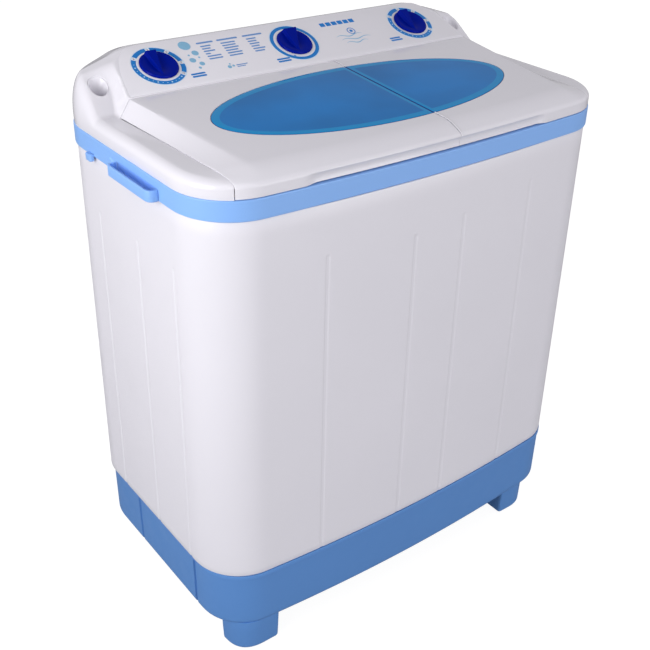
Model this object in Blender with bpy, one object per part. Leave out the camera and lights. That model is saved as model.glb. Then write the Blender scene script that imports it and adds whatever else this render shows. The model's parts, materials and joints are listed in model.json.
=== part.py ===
"""Twin tub washing machine: a wash tub with a pulsator and a spin basket under two hinged lids.

Metres, +Z up. The front faces -Y, and the origin is on the floor under the middle of the machine.
"""

import math

import bmesh
import bpy
from mathutils import Matrix, Vector

# ---- driving dimensions ------------------------------------------------------------------
GAP = 0.0003                   # clearance between neighbouring pieces
WALL = 0.0025                  # moulded wall

HALF_WIDTH = 0.370             # top band, half width
HALF_DEPTH = 0.2207            # top band, half depth at the corners
CORNER_RADIUS = 0.089
FRONT_BULGE = 0.0136           # how far the front bows out at its middle

FOOT_TOP_Z = 0.0556
BASE_Z = (0.0559, 0.1613)
CABINET_Z = (0.1616, 0.7545)
BAND_Z = (0.7548, 0.7838)
DECK_Z = 0.7841
DECK_FLOOR_Z = 0.7876
LEDGE_Z = 0.8095

PLATEAU_Z = 0.8253             # lid surface at PLATEAU_Y
PLATEAU_Y = -0.0639
PLATEAU_SLOPE = 0.0689         # the lids rise gently towards the console
LID_THICKNESS = 0.0045
LID_BACK_Y = 0.0696
LID_FRONT_REACH = 0.0375       # depth of the rounded front edge
LID_FRONT_DROP_Z = 0.7900      # where the rounded front edge becomes upright
LID_BOTTOM_Z = 0.7850
LID_SPLIT_X = 0.0361
SLOPE_FOOT_X = (0.3335, 0.3235)    # at the console end, at the front end
SLOPE_CREST_X = (0.3175, 0.2870)
EDGE_Y = (0.0712, -0.1900)         # where the pairs above are taken
WINDOW_HALF = (0.2611, 0.1059)
WINDOW_BORDER = 0.0130
WINDOW_THICKNESS = 0.0020

HINGE_Y = 0.0656
HINGE_DROP = 0.0034            # hinge axis below the lid surface
PIN_RADIUS = 0.00125

CONSOLE_FOOT = (0.0712, 0.8352)    # y, z of the lower edge of the fascia
CONSOLE_TOP = (0.1662, 0.8793)
CONSOLE_BACK_Y = 0.2185
PANEL_THICKNESS = 0.0020
KNOB_X = (-0.2437, -0.0042, 0.2353)
KNOB_UP_FACE = 0.0528          # knob axis, measured up the fascia
KNOB_RADIUS = 0.029
INLET = (0.3370, 0.1264)
INLET_RADIUS = 0.0145

WASH_AXIS = (-0.150, -0.030)
WASH_TUB_HALF = (0.172, 0.162)
WASH_TUB_CORNER = 0.050
WASH_FLOOR_Z = 0.330
SPIN_AXIS = (0.190, -0.062)
SPIN_TUB_RADIUS = 0.135
SPIN_FLOOR_Z = 0.335
BASKET_RADIUS = 0.1225
BASKET_Z = (0.352, 0.735)
RIM_Z = (0.7653, 0.7683)

MOTOR_AXIS = (0.010, 0.085)
BELT_Z = 0.132
WASH_PULLEY_RADIUS = 0.085
MOTOR_PULLEY_RADIUS = 0.018
BELT_THICKNESS = 0.004

CORNER_STEPS = 6
FRONT_STEPS = 6

FACE_ANGLE = math.atan2(CONSOLE_TOP[1] - CONSOLE_FOOT[1], CONSOLE_TOP[0] - CONSOLE_FOOT[0])
FACE_UP = Vector((0, math.cos(FACE_ANGLE), math.sin(FACE_ANGLE)))
FACE_NORMAL = Vector((0, -math.sin(FACE_ANGLE), math.cos(FACE_ANGLE)))


# ---- general helpers ---------------------------------------------------------------------
def clear_scene():
    for obj in list(bpy.data.objects):
        bpy.data.objects.remove(obj)


def material(name, color, roughness=0.4, metallic=0.0, alpha=1.0):
    mat = bpy.data.materials.new(name)
    mat.use_nodes = True
    shader = mat.node_tree.nodes["Principled BSDF"]
    shader.inputs["Base Color"].default_value = (*color, 1.0)
    shader.inputs["Roughness"].default_value = roughness
    shader.inputs["Metallic"].default_value = metallic
    shader.inputs["Alpha"].default_value = alpha
    mat.diffuse_color = (*color, alpha)
    return mat


def make_object(name, bm, mat, origin=(0, 0, 0), turn=(0, 0, 0)):
    """Links a mesh as a named object; its points are relative to origin."""
    bmesh.ops.recalc_face_normals(bm, faces=bm.faces)
    mesh = bpy.data.meshes.new(name)
    bm.to_mesh(mesh)
    bm.free()
    mesh.materials.append(mat)
    mesh.shade_smooth()
    mesh.set_sharp_from_angle(angle=math.radians(35))
    return link_object(name, mesh, origin, turn)


def link_object(name, mesh, origin, turn=(0, 0, 0)):
    obj = bpy.data.objects.new(name, mesh)
    obj.location = origin
    obj.rotation_euler = turn
    bpy.context.scene.collection.objects.link(obj)
    return obj


def combine(obj, bm, operation):
    """Adds a Boolean whose tool shares the object's own origin and turn."""
    bmesh.ops.recalc_face_normals(bm, faces=bm.faces)
    mesh = bpy.data.meshes.new(obj.name + "_tool")
    bm.to_mesh(mesh)
    bm.free()
    tool = link_object(obj.name + "_tool", mesh, obj.location, obj.rotation_euler)
    tool.hide_render = True
    tool.display_type = "WIRE"
    modifier = obj.modifiers.new(operation.lower(), "BOOLEAN")
    modifier.operation = operation
    modifier.object = tool


def cut(obj, bm):
    combine(obj, bm, "DIFFERENCE")


def fuse(obj, bm):
    combine(obj, bm, "UNION")


def loft(rings, closed=False):
    """Skins equal rings in order; an open stack is capped, a closed one joins last to first."""
    bm = bmesh.new()
    rows = [[bm.verts.new(point) for point in ring] for ring in rings]
    count = len(rows[0])
    pairs = list(zip(rows, rows[1:]))
    if closed:
        pairs.append((rows[-1], rows[0]))
    for low, high in pairs:
        for i in range(count):
            j = (i + 1) % count
            bm.faces.new((low[i], low[j], high[j], high[i]))
    if not closed:
        bm.faces.new(rows[0])
        bm.faces.new(rows[-1])
    return bm


def at_height(outline, z):
    return [(x, y, z) for x, y in outline]


def prism(outline, low, high):
    return loft([at_height(outline, low), at_height(outline, high)])


def box(low, high):
    (x0, y0, z0), (x1, y1, z1) = low, high
    return prism([(x0, y0), (x1, y0), (x1, y1), (x0, y1)], z0, z1)


def circle(radius, steps, center=(0, 0)):
    angles = [2 * math.pi * i / steps for i in range(steps)]
    return [(center[0] + radius * math.cos(a), center[1] + radius * math.sin(a)) for a in angles]


def turned(profile, steps, center=(0, 0), closed=False):
    """Rings about the Z axis through center for each (radius, z) of the profile."""
    return loft([at_height(circle(r, steps, center), z) for r, z in profile], closed)


def rod(start, end, radius, steps=12):
    """Straight round bar between two points."""
    return pipe([start, end], radius, steps)


def pipe(path, radius, steps=8, inner=None):
    """Round bar or hose along a path; with inner it is open at both ends."""
    points = [Vector(p) for p in path]
    outer_rings = []
    inner_rings = []
    side = None
    for i, point in enumerate(points):
        ahead = points[min(i + 1, len(points) - 1)] - points[max(i - 1, 0)]
        ahead.normalize()
        if side is None:
            side = ahead.orthogonal().normalized()
        side = (side - ahead * side.dot(ahead)).normalized()
        up = ahead.cross(side)
        angles = [2 * math.pi * k / steps for k in range(steps)]
        directions = [side * math.cos(a) + up * math.sin(a) for a in angles]
        outer_rings.append([point + d * radius for d in directions])
        if inner:
            inner_rings.append([point + d * inner for d in directions])
    if inner:
        return loft(outer_rings + inner_rings[::-1], closed=True)
    return loft(outer_rings)


def bend(points, radius, steps=4):
    """Rounds the inner corners of a path."""
    points = [Vector(p) for p in points]
    path = [points[0]]
    for before, corner, after in zip(points, points[1:], points[2:]):
        back = (before - corner).normalized() * radius
        on = (after - corner).normalized() * radius
        for i in range(steps + 1):
            t = i / steps
            path.append(corner + back * (1 - t) ** 2 + on * t ** 2)
    path.append(points[-1])
    return path


def slab(low, high):
    """Closed sheet between two equal grids of points."""
    bm = bmesh.new()
    rows, cols = len(low), len(low[0])
    under = [[bm.verts.new(p) for p in row] for row in low]
    over = [[bm.verts.new(p) for p in row] for row in high]
    for grid in (under, over):
        for r in range(rows - 1):
            for c in range(cols - 1):
                bm.faces.new((grid[r][c], grid[r][c + 1], grid[r + 1][c + 1], grid[r + 1][c]))
    rim = [(0, c) for c in range(cols)] + [(r, cols - 1) for r in range(1, rows)]
    rim += [(rows - 1, c) for c in range(cols - 2, -1, -1)] + [(r, 0) for r in range(rows - 2, 0, -1)]
    for (r0, c0), (r1, c1) in zip(rim, rim[1:] + rim[:1]):
        bm.faces.new((under[r0][c0], under[r1][c1], over[r1][c1], over[r0][c0]))
    return bm


# ---- shared outlines ---------------------------------------------------------------------
def outline(half_x, half_y, radius, bulge=FRONT_BULGE, shift_y=0.0):
    """Rounded rectangle seen from above, with its front side bowed outwards."""
    points = []
    reach = half_x - radius
    for sign_x, sign_y, start in ((1, 1, 0), (-1, 1, 90), (-1, -1, 180), (1, -1, 270)):
        center = (sign_x * reach, sign_y * (half_y - radius))
        for i in range(CORNER_STEPS + 1):
            angle = math.radians(start + 90 * i / CORNER_STEPS)
            points.append((center[0] + radius * math.cos(angle), center[1] + radius * math.sin(angle)))
        if (sign_x, sign_y) == (-1, -1):
            for i in range(1, FRONT_STEPS):
                x = reach * (2 * i / FRONT_STEPS - 1)
                points.append((x, -half_y - bulge * (1 - (x / reach) ** 2)))
    return [(x, y + shift_y) for x, y in points]


def band_outline(inset=0.0):
    return outline(HALF_WIDTH - inset, HALF_DEPTH - inset, CORNER_RADIUS - inset)


def front_y(x, inset):
    """Front of the band outline at one x."""
    reach = HALF_WIDTH - CORNER_RADIUS
    if abs(x) <= reach:
        return -HALF_DEPTH + inset - FRONT_BULGE * (1 - (x / reach) ** 2)
    radius = CORNER_RADIUS - inset
    return -(HALF_DEPTH - CORNER_RADIUS) - math.sqrt(radius ** 2 - (abs(x) - reach) ** 2)


def along_edge(values, y):
    """Straight line through two x values given at the two ends of EDGE_Y."""
    t = (y - EDGE_Y[0]) / (EDGE_Y[1] - EDGE_Y[0])
    return values[0] + (values[1] - values[0]) * t


def plateau(y):
    return PLATEAU_Z + PLATEAU_SLOPE * (y - PLATEAU_Y)


def face_point(x, up, out=0.0):
    """Point on the fascia plane: up along its slope, out along its normal."""
    return Vector((x, *CONSOLE_FOOT)) + FACE_UP * up + FACE_NORMAL * out


HINGE_Z = plateau(HINGE_Y) - HINGE_DROP


# ---- casing ------------------------------------------------------------------------------
REAR_DOOR = (-0.200, 0.220, 0.240, 0.580)      # opening: low x, low z, high x, high z
DOOR_LAP = 0.014
SCREW_INSET = 0.007
REAR_Y = 0.2190
CABINET_HIGH = (0.3665, 0.2185, 0.0860, 0.0126, 0.0)   # half x, half y, corner radius, bulge, shift y
CABINET_LOW = (0.3685, 0.2190, 0.0850, 0.0126, 0.0)
BASE_HIGH = (0.3655, 0.2181, 0.0822, 0.0122, -0.0028)
BASE_LOW = (0.3636, 0.2185, 0.0822, 0.0122, -0.0028)
BASE_GROOVE_Y = (0.059, -0.1225)


def door_screw_places():
    x0, z0, x1, z1 = REAR_DOOR
    lap = SCREW_INSET
    return [(x, z) for x in (x0 - lap, x1 + lap) for z in (z0 - lap, z1 + lap)]


def inset_outline(sizes, inset=0.0):
    """Outline from (half x, half y, corner radius, bulge, shift y), moved inwards."""
    half_x, half_y, radius, bulge, shift_y = sizes
    return outline(half_x - inset, half_y - inset, radius - inset, bulge, shift_y)


def make_cabinet(mat):
    rings = [at_height(inset_outline(CABINET_LOW), CABINET_Z[0]),
             at_height(inset_outline(CABINET_HIGH), CABINET_Z[1]),
             at_height(inset_outline(CABINET_HIGH, WALL), CABINET_Z[1]),
             at_height(inset_outline(CABINET_LOW, WALL), CABINET_Z[0])]
    cabinet = make_object("cabinet", loft(rings, closed=True), mat)
    x0, z0, x1, z1 = REAR_DOOR
    cut(cabinet, box((x0, 0.200, z0), (x1, 0.240, z1)))
    for x, z in door_screw_places():
        cut(cabinet, rod((x, 0.205, z), (x, 0.235, z), 0.0024, 8))


def make_rear_cover(mat):
    x0, z0, x1, z1 = REAR_DOOR
    low_y = REAR_Y + GAP
    cover = make_object("rear_cover", box(
        (x0 - DOOR_LAP, low_y, z0 - DOOR_LAP), (x1 + DOOR_LAP, low_y + WALL, z1 + DOOR_LAP)), mat)
    for i in range(7):
        z = 0.300 + 0.016 * i
        cut(cover, box((-0.060, 0.200, z), (0.100, 0.240, z + 0.005)))
    for x, z in door_screw_places():
        cut(cover, rod((x, 0.205, z), (x, 0.235, z), 0.0024, 8))
    cut(cover, rod((CORD_X, 0.205, CORD_Z), (CORD_X, 0.235, CORD_Z), CORD_RADIUS + GAP + 0.0003, 12))


def make_cover_screws(mat):
    shank = 0.0020
    head = 0.0042
    seat = REAR_Y + GAP + WALL + GAP
    names = ("cover_screw_lower_left", "cover_screw_upper_left",
             "cover_screw_lower_right", "cover_screw_upper_right")
    profile = [(shank, -0.0090), (shank, 0.0), (head, 0.0), (head, 0.0014), (0.0026, 0.0022)]
    bm = turned(profile, 8)
    bmesh.ops.rotate(bm, verts=bm.verts, matrix=Matrix.Rotation(-math.pi / 2, 3, "X"))
    places = door_screw_places()
    first = make_object(names[0], bm, mat, (places[0][0], seat, places[0][1]))
    for name, (x, z) in zip(names[1:], places[1:]):
        link_object(name, first.data, (x, seat, z))


def make_base(mat):
    rings = [at_height(inset_outline(BASE_LOW), BASE_Z[0]), at_height(inset_outline(BASE_HIGH), BASE_Z[1]),
             at_height(inset_outline(BASE_HIGH, 0.005), BASE_Z[1]),
             at_height(inset_outline(BASE_LOW, 0.003), BASE_Z[0] + 0.004)]
    base = make_object("base_tray", loft(rings), mat)
    for side in (-1, 1):
        for y in BASE_GROOVE_Y:
            cut(base, box(*sorted_box((side * 0.3625, y - 0.002, 0.050), (side * 0.380, y + 0.002, 0.154))))
    cut(base, turned([(0.010, 0.050), (0.010, 0.070)], 10, (DRAIN_AXIS[0], 0.150)))


def sorted_box(a, b):
    return tuple(map(min, a, b)), tuple(map(max, a, b))


# name, side, end, outer x, outer y and plan depth of each foot; the front left one stands wider
FEET = (("foot_front_left", -1, -1, 0.3440, 0.2150, 0.054), ("foot_front_right", 1, -1, 0.3220, 0.2130, 0.050),
        ("foot_rear_left", -1, 1, 0.3220, 0.2000, 0.050), ("foot_rear_right", 1, 1, 0.3220, 0.2000, 0.050))
FOOT_RADIUS = 0.070
FOOT_WIDTH = 0.080


def make_feet(mat):
    for name, sign_x, sign_y, reach_x, reach_y, depth in FEET:
        start = math.asin(1 - depth / FOOT_RADIUS)
        points = [(reach_x - FOOT_WIDTH, reach_y), (reach_x - FOOT_WIDTH, reach_y - depth)]
        for i in range(CORNER_STEPS + 1):
            angle = start + (math.pi / 2 - start) * i / CORNER_STEPS
            x = reach_x - FOOT_RADIUS * (1 - math.cos(angle))
            y = reach_y - FOOT_RADIUS * (1 - math.sin(angle))
            points.append((x, y))
        corner = (sign_x * (reach_x - FOOT_RADIUS), sign_y * (reach_y - FOOT_RADIUS))
        local = [(sign_x * x - corner[0], sign_y * y - corner[1]) for x, y in points]
        taper = [(x * 0.97, y * 0.97) for x, y in local]
        bm = loft([at_height(taper, 0.0), at_height(local, 0.012), at_height(local, FOOT_TOP_Z)])
        make_object(name, bm, mat, (*corner, 0.0))


def make_band(mat):
    rings = [at_height(band_outline(0.0008), BAND_Z[0]), at_height(band_outline(), BAND_Z[0] + 0.001),
             at_height(band_outline(), BAND_Z[1] - 0.001), at_height(band_outline(0.0008), BAND_Z[1]),
             at_height(band_outline(0.012), BAND_Z[1]), at_height(band_outline(0.012), RIM_Z[0] - GAP),
             at_height(band_outline(0.024), RIM_Z[0] - GAP), at_height(band_outline(0.024), BAND_Z[0])]
    band = make_object("top_band", loft(rings, closed=True), mat)
    for side in (-1, 1):
        fuse(band, box(*sorted_box((side * 0.3680, -0.100, 0.7550), (side * 0.3850, 0.020, 0.7710))))
        cut(band, box(*sorted_box((side * 0.3705, -0.0975, 0.7580), (side * 0.3825, 0.0175, 0.7800))))
    fuse(band, box((-0.3775, 0.085, 0.7455), (-0.3690, 0.111, 0.7600)))


# ---- deck and console --------------------------------------------------------------------
SHOULDER = ((0.000, 0.8795), (0.262, 0.8795), (0.282, 0.8745), (0.300, 0.8670), (0.3175, 0.8610),
            (0.3345, 0.8555), (0.3430, 0.8525), (0.3560, 0.8450), (0.3675, 0.8300))
DECK_OPENINGS = {"wash": (-0.318, -0.188, 0.018, 0.050), "spin": (0.066, -0.190, 0.312, 0.050)}
SWITCH_X = 0.2350
SWITCH_PIVOT = (0.0790, 0.8185)
SWITCH_HALF_WIDTH = 0.003
EAR_X = (-0.300, 0.024, 0.050, 0.298)
EAR_HALF = 0.003
EAR_RADIUS = 0.0024
EAR_BORE = PIN_RADIUS + GAP


def console_section(x, cap, shell=0.0, recess=PANEL_THICKNESS + GAP):
    """Side profile of the console housing, kept below the height cap."""
    foot = face_point(x, 0.0, -recess - shell)
    top = face_point(x, 0.1047, -recess - shell)
    front = CONSOLE_FOOT[0] + shell
    back = CONSOLE_BACK_Y - shell
    low = 0.780 if shell else DECK_FLOOR_Z - 0.001
    front_z = foot.z + (front - foot.y) * math.tan(FACE_ANGLE)
    profile = [(front, low), (front, front_z), (top.y, top.z),
               (top.y + 0.004, 0.8780 - shell), (0.190, 0.8725 - shell), (0.206, 0.8660 - shell),
               (0.2145, 0.8550 - shell), (back, 0.8300 - shell), (back, low)]
    return [(x, y, min(z, cap - shell)) for y, z in profile]


def console_block():
    sections = [console_section(-x, z) for x, z in SHOULDER[:0:-1]]
    sections += [console_section(x, z) for x, z in SHOULDER]
    bm = loft(sections)
    bmesh.ops.triangulate(bm, faces=bm.faces)
    return bm


def shoulder_ramp(side):
    """Room above the ramp that climbs from the ledge to the shoulder beside the fascia."""
    profile = [(0.0690, LEDGE_Z + 0.0002), (0.0850, LEDGE_Z + 0.0002), (0.1180, 0.8350), (0.1350, 0.8445),
               (0.1650, 0.8500), (0.1650, 0.9000), (0.0690, 0.9000)]
    low, high = sorted((side * 0.3190, side * 0.3900))
    return loft([[(x, y, z) for y, z in profile] for x in (low, high)])


def lid_bay():
    """Room for both lids, down to the deck floor."""
    back = CONSOLE_FOOT[0] + 0.0008
    foot_back = along_edge(SLOPE_FOOT_X, back)
    foot_front = along_edge(SLOPE_FOOT_X, -0.250)
    points = [(-foot_front, -0.250), (foot_front, -0.250), (foot_back, back), (-foot_back, back)]
    return prism(points, DECK_FLOOR_Z, 0.900)


def lid_skirt_room():
    """Strip along the front that the lids' upright front edges hang down in."""
    half = along_edge(SLOPE_FOOT_X, -0.2100)
    xs = [half * (2 * i / 14 - 1) for i in range(15)]
    points = [(x, front_y(x, 0.0062)) for x in xs]
    return prism(points + [(half, -0.300), (-half, -0.300)], 0.780, DECK_FLOOR_Z + 0.001)


def rounded_rectangle(x0, y0, x1, y1, radius, steps=5):
    points = []
    for cx, cy, start in ((x1 - radius, y1 - radius, 0), (x0 + radius, y1 - radius, 90),
                          (x0 + radius, y0 + radius, 180), (x1 - radius, y0 + radius, 270)):
        for i in range(steps + 1):
            angle = math.radians(start + 90 * i / steps)
            points.append((cx + radius * math.cos(angle), cy + radius * math.sin(angle)))
    return points


def make_deck(mat):
    inset = 0.0012
    rings = [at_height(band_outline(inset + 0.001), DECK_Z), at_height(band_outline(inset), DECK_Z + 0.001),
             at_height(band_outline(inset), 0.8010), at_height(band_outline(inset + 0.0025), 0.8060),
             at_height(band_outline(inset + 0.0075), 0.8090), at_height(band_outline(inset + 0.013), LEDGE_Z)]
    deck = make_object("top_deck", loft(rings), mat)
    cut(deck, lid_bay())
    cut(deck, lid_skirt_room())
    console = console_block()
    fuse(deck, console)
    for side in (-1, 1):
        cut(deck, shoulder_ramp(side))
    limit = inset - 0.0001
    trim = [at_height(band_outline(limit), 0.780), at_height(band_outline(limit), 0.900)]
    trim += [at_height(band_outline(-0.080), 0.900), at_height(band_outline(-0.080), 0.780)]
    cut(deck, loft(trim, closed=True))
    hollow = [console_section(x, z, 0.003) for x, z in ((-0.296, 0.8670), (-0.262, 0.8795), (0.262, 0.8795),
                                                       (0.296, 0.8670))]
    cut(deck, loft(hollow))
    for side in (-1, 1):
        cut(deck, box(*sorted_box((side * 0.3400, -0.120, 0.780), (side * 0.3650, 0.100, LEDGE_Z - 0.003))))
    for x0, y0, x1, y1 in DECK_OPENINGS.values():
        cut(deck, prism(rounded_rectangle(x0, y0, x1, y1, 0.050), 0.780, 0.792))
    for side in (-1, 1):
        cut(deck, turned([(INLET_RADIUS, 0.780), (INLET_RADIUS, 0.860)], 14, (side * INLET[0], INLET[1])))
    for x in KNOB_X:
        cut(deck, shaft_hole(x))
    y, z = SWITCH_PIVOT
    slot = SWITCH_HALF_WIDTH + 0.0010
    cut(deck, box((SWITCH_X - slot, 0.0690, z - 0.0030), (SWITCH_X + slot, 0.0765, z + 0.0055)))
    for x in EAR_X:
        fuse(deck, hinge_ear(x))


def shaft_hole(x, radius=0.0065):
    return rod(face_point(x, KNOB_UP_FACE, -0.030), face_point(x, KNOB_UP_FACE, 0.020), radius, 12)


def hinge_ear(x):
    """Upright tongue, round at its top, with the bore of a hinge pin through it."""
    outer = []
    bore = []
    for i in range(8):
        angle = math.radians(-30 + 240 * i / 7)
        direction = (math.cos(angle), math.sin(angle))
        outer.append((HINGE_Y + EAR_RADIUS * direction[0], HINGE_Z + EAR_RADIUS * direction[1]))
        bore.append((HINGE_Y + EAR_BORE * direction[0], HINGE_Z + EAR_BORE * direction[1]))
    outer += [(outer[-1][0], DECK_FLOOR_Z - 0.001), (outer[0][0], DECK_FLOOR_Z - 0.001)]
    bore_low = HINGE_Z - EAR_BORE * 0.9
    bore += [(HINGE_Y - EAR_BORE / 2, bore_low), (HINGE_Y + EAR_BORE / 2, bore_low)]
    rings = []
    for points, side in ((outer, -1), (outer, 1), (bore, 1), (bore, -1)):
        rings.append([(x + side * EAR_HALF, y, z) for y, z in points])
    return loft(rings, closed=True)


def panel_outline():
    """Fascia outline in its own plane: straight foot, rounded upper corners."""
    points = [(0.3160, 0.0006), (0.3150, 0.0200), (0.3110, 0.0480), (0.2990, 0.0720), (0.2820, 0.0900),
              (0.2600, 0.1000), (0.2400, 0.1040)]
    return points + [(-x, up) for x, up in reversed(points)]


def make_panel(mat):
    rings = [[face_point(x, up, out) for x, up in panel_outline()] for out in (-PANEL_THICKNESS, 0.0)]
    panel = make_object("console_panel", loft(rings), mat)
    for x in KNOB_X:
        cut(panel, shaft_hole(x))


def make_inlets(mat):
    for name, side in (("water_inlet_left", -1), ("water_inlet_right", 1)):
        outer = INLET_RADIUS - 0.0006
        profile = [(outer, 0.7885), (outer, 0.8180), (outer - 0.0020, 0.8180), (outer - 0.0020, 0.8080),
                   (outer - 0.0045, 0.8000), (outer - 0.0045, 0.7885)]
        bm = turned(profile, 14, closed=True)
        make_object(name, bm, mat, (side * INLET[0], INLET[1], 0.0))


# ---- lids --------------------------------------------------------------------------------
def lid_columns(side):
    """Fractions from the outer foot of the slope (0) over its crest (1) to the split (2)."""
    return (0.0, 1.0, 1.3, 1.65, 2.0) if side < 0 else (0.0, 1.0, 1.5, 2.0)


def lid_x(side, fraction, y):
    foot = along_edge(SLOPE_FOOT_X, y) - 2 * GAP
    crest = along_edge(SLOPE_CREST_X, y)
    split = LID_SPLIT_X + side * GAP
    if fraction <= 1.0:
        return side * (foot + (crest - foot) * fraction)
    return side * crest + (split - side * crest) * (fraction - 1.0)


def lid_surface(side, inner):
    """Grid of lid points, back to front; inner gives the underside."""
    rows = []
    for y in (LID_BACK_Y, 0.020, -0.060, -0.140):
        row = []
        for fraction in lid_columns(side):
            z = LEDGE_Z + 0.0015 if fraction == 0.0 else plateau(y)
            row.append((lid_x(side, fraction, y), y, z - (LID_THICKNESS if inner else 0.0)))
        rows.append(row)
    for degrees in (0, 25, 50, 70, 90, 91):
        angle = math.radians(min(degrees, 90))
        row = []
        for fraction in lid_columns(side):
            x = lid_x(side, fraction, -0.2200)
            start = front_y(x, 0.0019) + LID_FRONT_REACH
            x = lid_x(side, fraction, start - LID_FRONT_REACH * math.sin(angle))
            top = LEDGE_Z + 0.0015 if fraction == 0.0 else plateau(start)
            y = start - LID_FRONT_REACH * math.sin(angle)
            z = LID_FRONT_DROP_Z + (top - LID_FRONT_DROP_Z) * math.cos(angle)
            if inner:
                y += LID_THICKNESS * 0.7 * math.sin(angle)
                z -= LID_THICKNESS * math.cos(angle)
            if degrees > 90:
                z = LID_BOTTOM_Z
            row.append((x, y, z))
        rows.append(row)
    return rows


def window_outline(side, border, split_border, steps=20):
    """Part of the window ellipse on one side of the split."""
    half_x = WINDOW_HALF[0] - border
    half_y = WINDOW_HALF[1] - border
    split = LID_SPLIT_X + side * split_border
    meet = math.acos(split / half_x)
    low, high = (meet, 2 * math.pi - meet) if side < 0 else (-meet, meet)
    angles = [low + (high - low) * i / steps for i in range(steps + 1)]
    return [(half_x * math.cos(a), PLATEAU_Y + half_y * math.sin(a)) for a in angles]


def window_prism(side, border, split_border, bottom, top):
    """Upright prism on the window outline, with ends parallel to the lid surface."""
    points = window_outline(side, border, split_border)
    return loft([[(x, y, plateau(y) + offset) for x, y in points] for offset in (bottom, top)])


def local(bm, origin):
    bmesh.ops.translate(bm, verts=bm.verts, vec=-Vector(origin))
    return bm


def make_lid(name, side, ears, mat):
    origin = (0.0, HINGE_Y, HINGE_Z)
    sheet = slab(lid_surface(side, True), lid_surface(side, False))
    lid = make_object(name, local(sheet, origin), mat, origin)
    ends = sorted((lid_x(side, 1.0, HINGE_Y) - side * 0.004, LID_SPLIT_X + side * 0.002))
    rail = box((ends[0], HINGE_Y - 0.0045, HINGE_Z - 0.0045),
               (ends[1], LID_BACK_Y - 0.0004, HINGE_Z + 0.0010))
    fuse(lid, local(rail, origin))
    cut(lid, local(rod((ends[0] - 0.02, HINGE_Y, HINGE_Z), (ends[1] + 0.02, HINGE_Y, HINGE_Z),
                       PIN_RADIUS + GAP, 10), origin))
    for x in ears:
        half = EAR_HALF + 0.0006
        reach = EAR_RADIUS + GAP
        cut(lid, local(box((x - half, HINGE_Y - reach - 0.0004, HINGE_Z - 0.020),
                           (x + half, LID_BACK_Y + 0.010, HINGE_Z + reach)), origin))
    depth = WINDOW_THICKNESS + GAP
    cut(lid, local(window_prism(side, -GAP, -0.010, -depth, 0.010), origin))
    cut(lid, local(window_prism(side, WINDOW_BORDER, WINDOW_BORDER, -0.020, 0.010), origin))
    return lid


def make_window(name, side, mat):
    origin = (0.0, HINGE_Y, HINGE_Z)
    bm = window_prism(side, 0.0, 2 * GAP, -WINDOW_THICKNESS, 0.0)
    make_object(name, local(bm, origin), mat, origin)


def make_hinge_pins(mat):
    for name, low, high in (("wash_lid_pin", EAR_X[0] - 0.0035, EAR_X[1] + 0.0035),
                            ("spin_lid_pin", EAR_X[2] - 0.0035, EAR_X[3] + 0.0035)):
        make_object(name, rod((low, 0, 0), (high, 0, 0), PIN_RADIUS, 10), mat, (0.0, HINGE_Y, HINGE_Z))


# ---- controls ----------------------------------------------------------------------------
KNOB_TURN = (FACE_ANGLE, 0, 0)
KNOB_NAMES = ("wash_timer_knob", "selector_knob", "spin_timer_knob")
SHAFT_RADIUS = 0.0040
TIMER_HALF = 0.0185


def make_knobs(mat):
    """Dished round dial with a finger wedge across it and a shaft below; z is the turning axis."""
    profile = [(SHAFT_RADIUS, -0.0240), (SHAFT_RADIUS, 0.0010), (KNOB_RADIUS, 0.0010), (KNOB_RADIUS, 0.0040),
               (KNOB_RADIUS - 0.0020, 0.0050), (0.0060, 0.0032)]
    first = None
    for name, x in zip(KNOB_NAMES, KNOB_X):
        place = face_point(x, KNOB_UP_FACE)
        if first is None:
            first = make_object(name, turned(profile, 20), mat, place, KNOB_TURN)
            grip = [[(-0.0040, -0.0235, 0.002), (0.0040, -0.0235, 0.002), (0.0135, 0.0245, 0.002),
                     (-0.0135, 0.0245, 0.002)],
                    [(-0.0010, -0.0215, 0.006), (0.0010, -0.0215, 0.006), (0.0110, 0.0235, 0.0115),
                     (-0.0110, 0.0235, 0.0115)]]
            fuse(first, loft(grip))
        else:
            knob = link_object(name, first.data, place, KNOB_TURN)
            fuse(knob, loft(grip))


def make_timers(mat):
    sizes = {"wash_timer": 0.030, "water_selector_switch": 0.018, "spin_timer": 0.026}
    for (name, depth), x in zip(sizes.items(), KNOB_X):
        top = -PANEL_THICKNESS - 0.0033 - 2 * GAP
        place = face_point(x, KNOB_UP_FACE)
        bm = box((-TIMER_HALF, -TIMER_HALF, top - depth), (TIMER_HALF, TIMER_HALF, top))
        body = make_object(name, bm, mat, place, KNOB_TURN)
        cut(body, turned([(0.0048, -0.0265), (0.0048, 0.0)], 12))
        fuse(body, box((-0.015, TIMER_HALF - 0.002, top - 0.010), (-0.009, TIMER_HALF + 0.004, top - 0.008)))


def make_buzzer(mat):
    place = face_point(0.120, 0.050, -PANEL_THICKNESS - 0.0033 - 2 * GAP)
    bm = turned([(0.012, -0.010), (0.014, -0.008), (0.014, 0.0)], 14)
    make_object("buzzer", bm, mat, place, KNOB_TURN)


# ---- tubs --------------------------------------------------------------------------------
DRAIN_AXIS = (-0.270, 0.090)
DRAIN_RADIUS = 0.016


def wash_cup(grow, floor_z, top_z):
    half_x, half_y = WASH_TUB_HALF
    rings = []
    for shrink, z in ((0.022, floor_z), (0.008, floor_z + 0.014), (0.006, floor_z + 0.06), (0.0, top_z)):
        reach_x = half_x - shrink + grow
        reach_y = half_y - shrink + grow
        radius = WASH_TUB_CORNER - shrink / 2 + grow
        x, y = WASH_AXIS
        corners = rounded_rectangle(x - reach_x, y - reach_y, x + reach_x, y + reach_y, radius, 4)
        rings.append(at_height(corners, z))
    return loft(rings)


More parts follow.
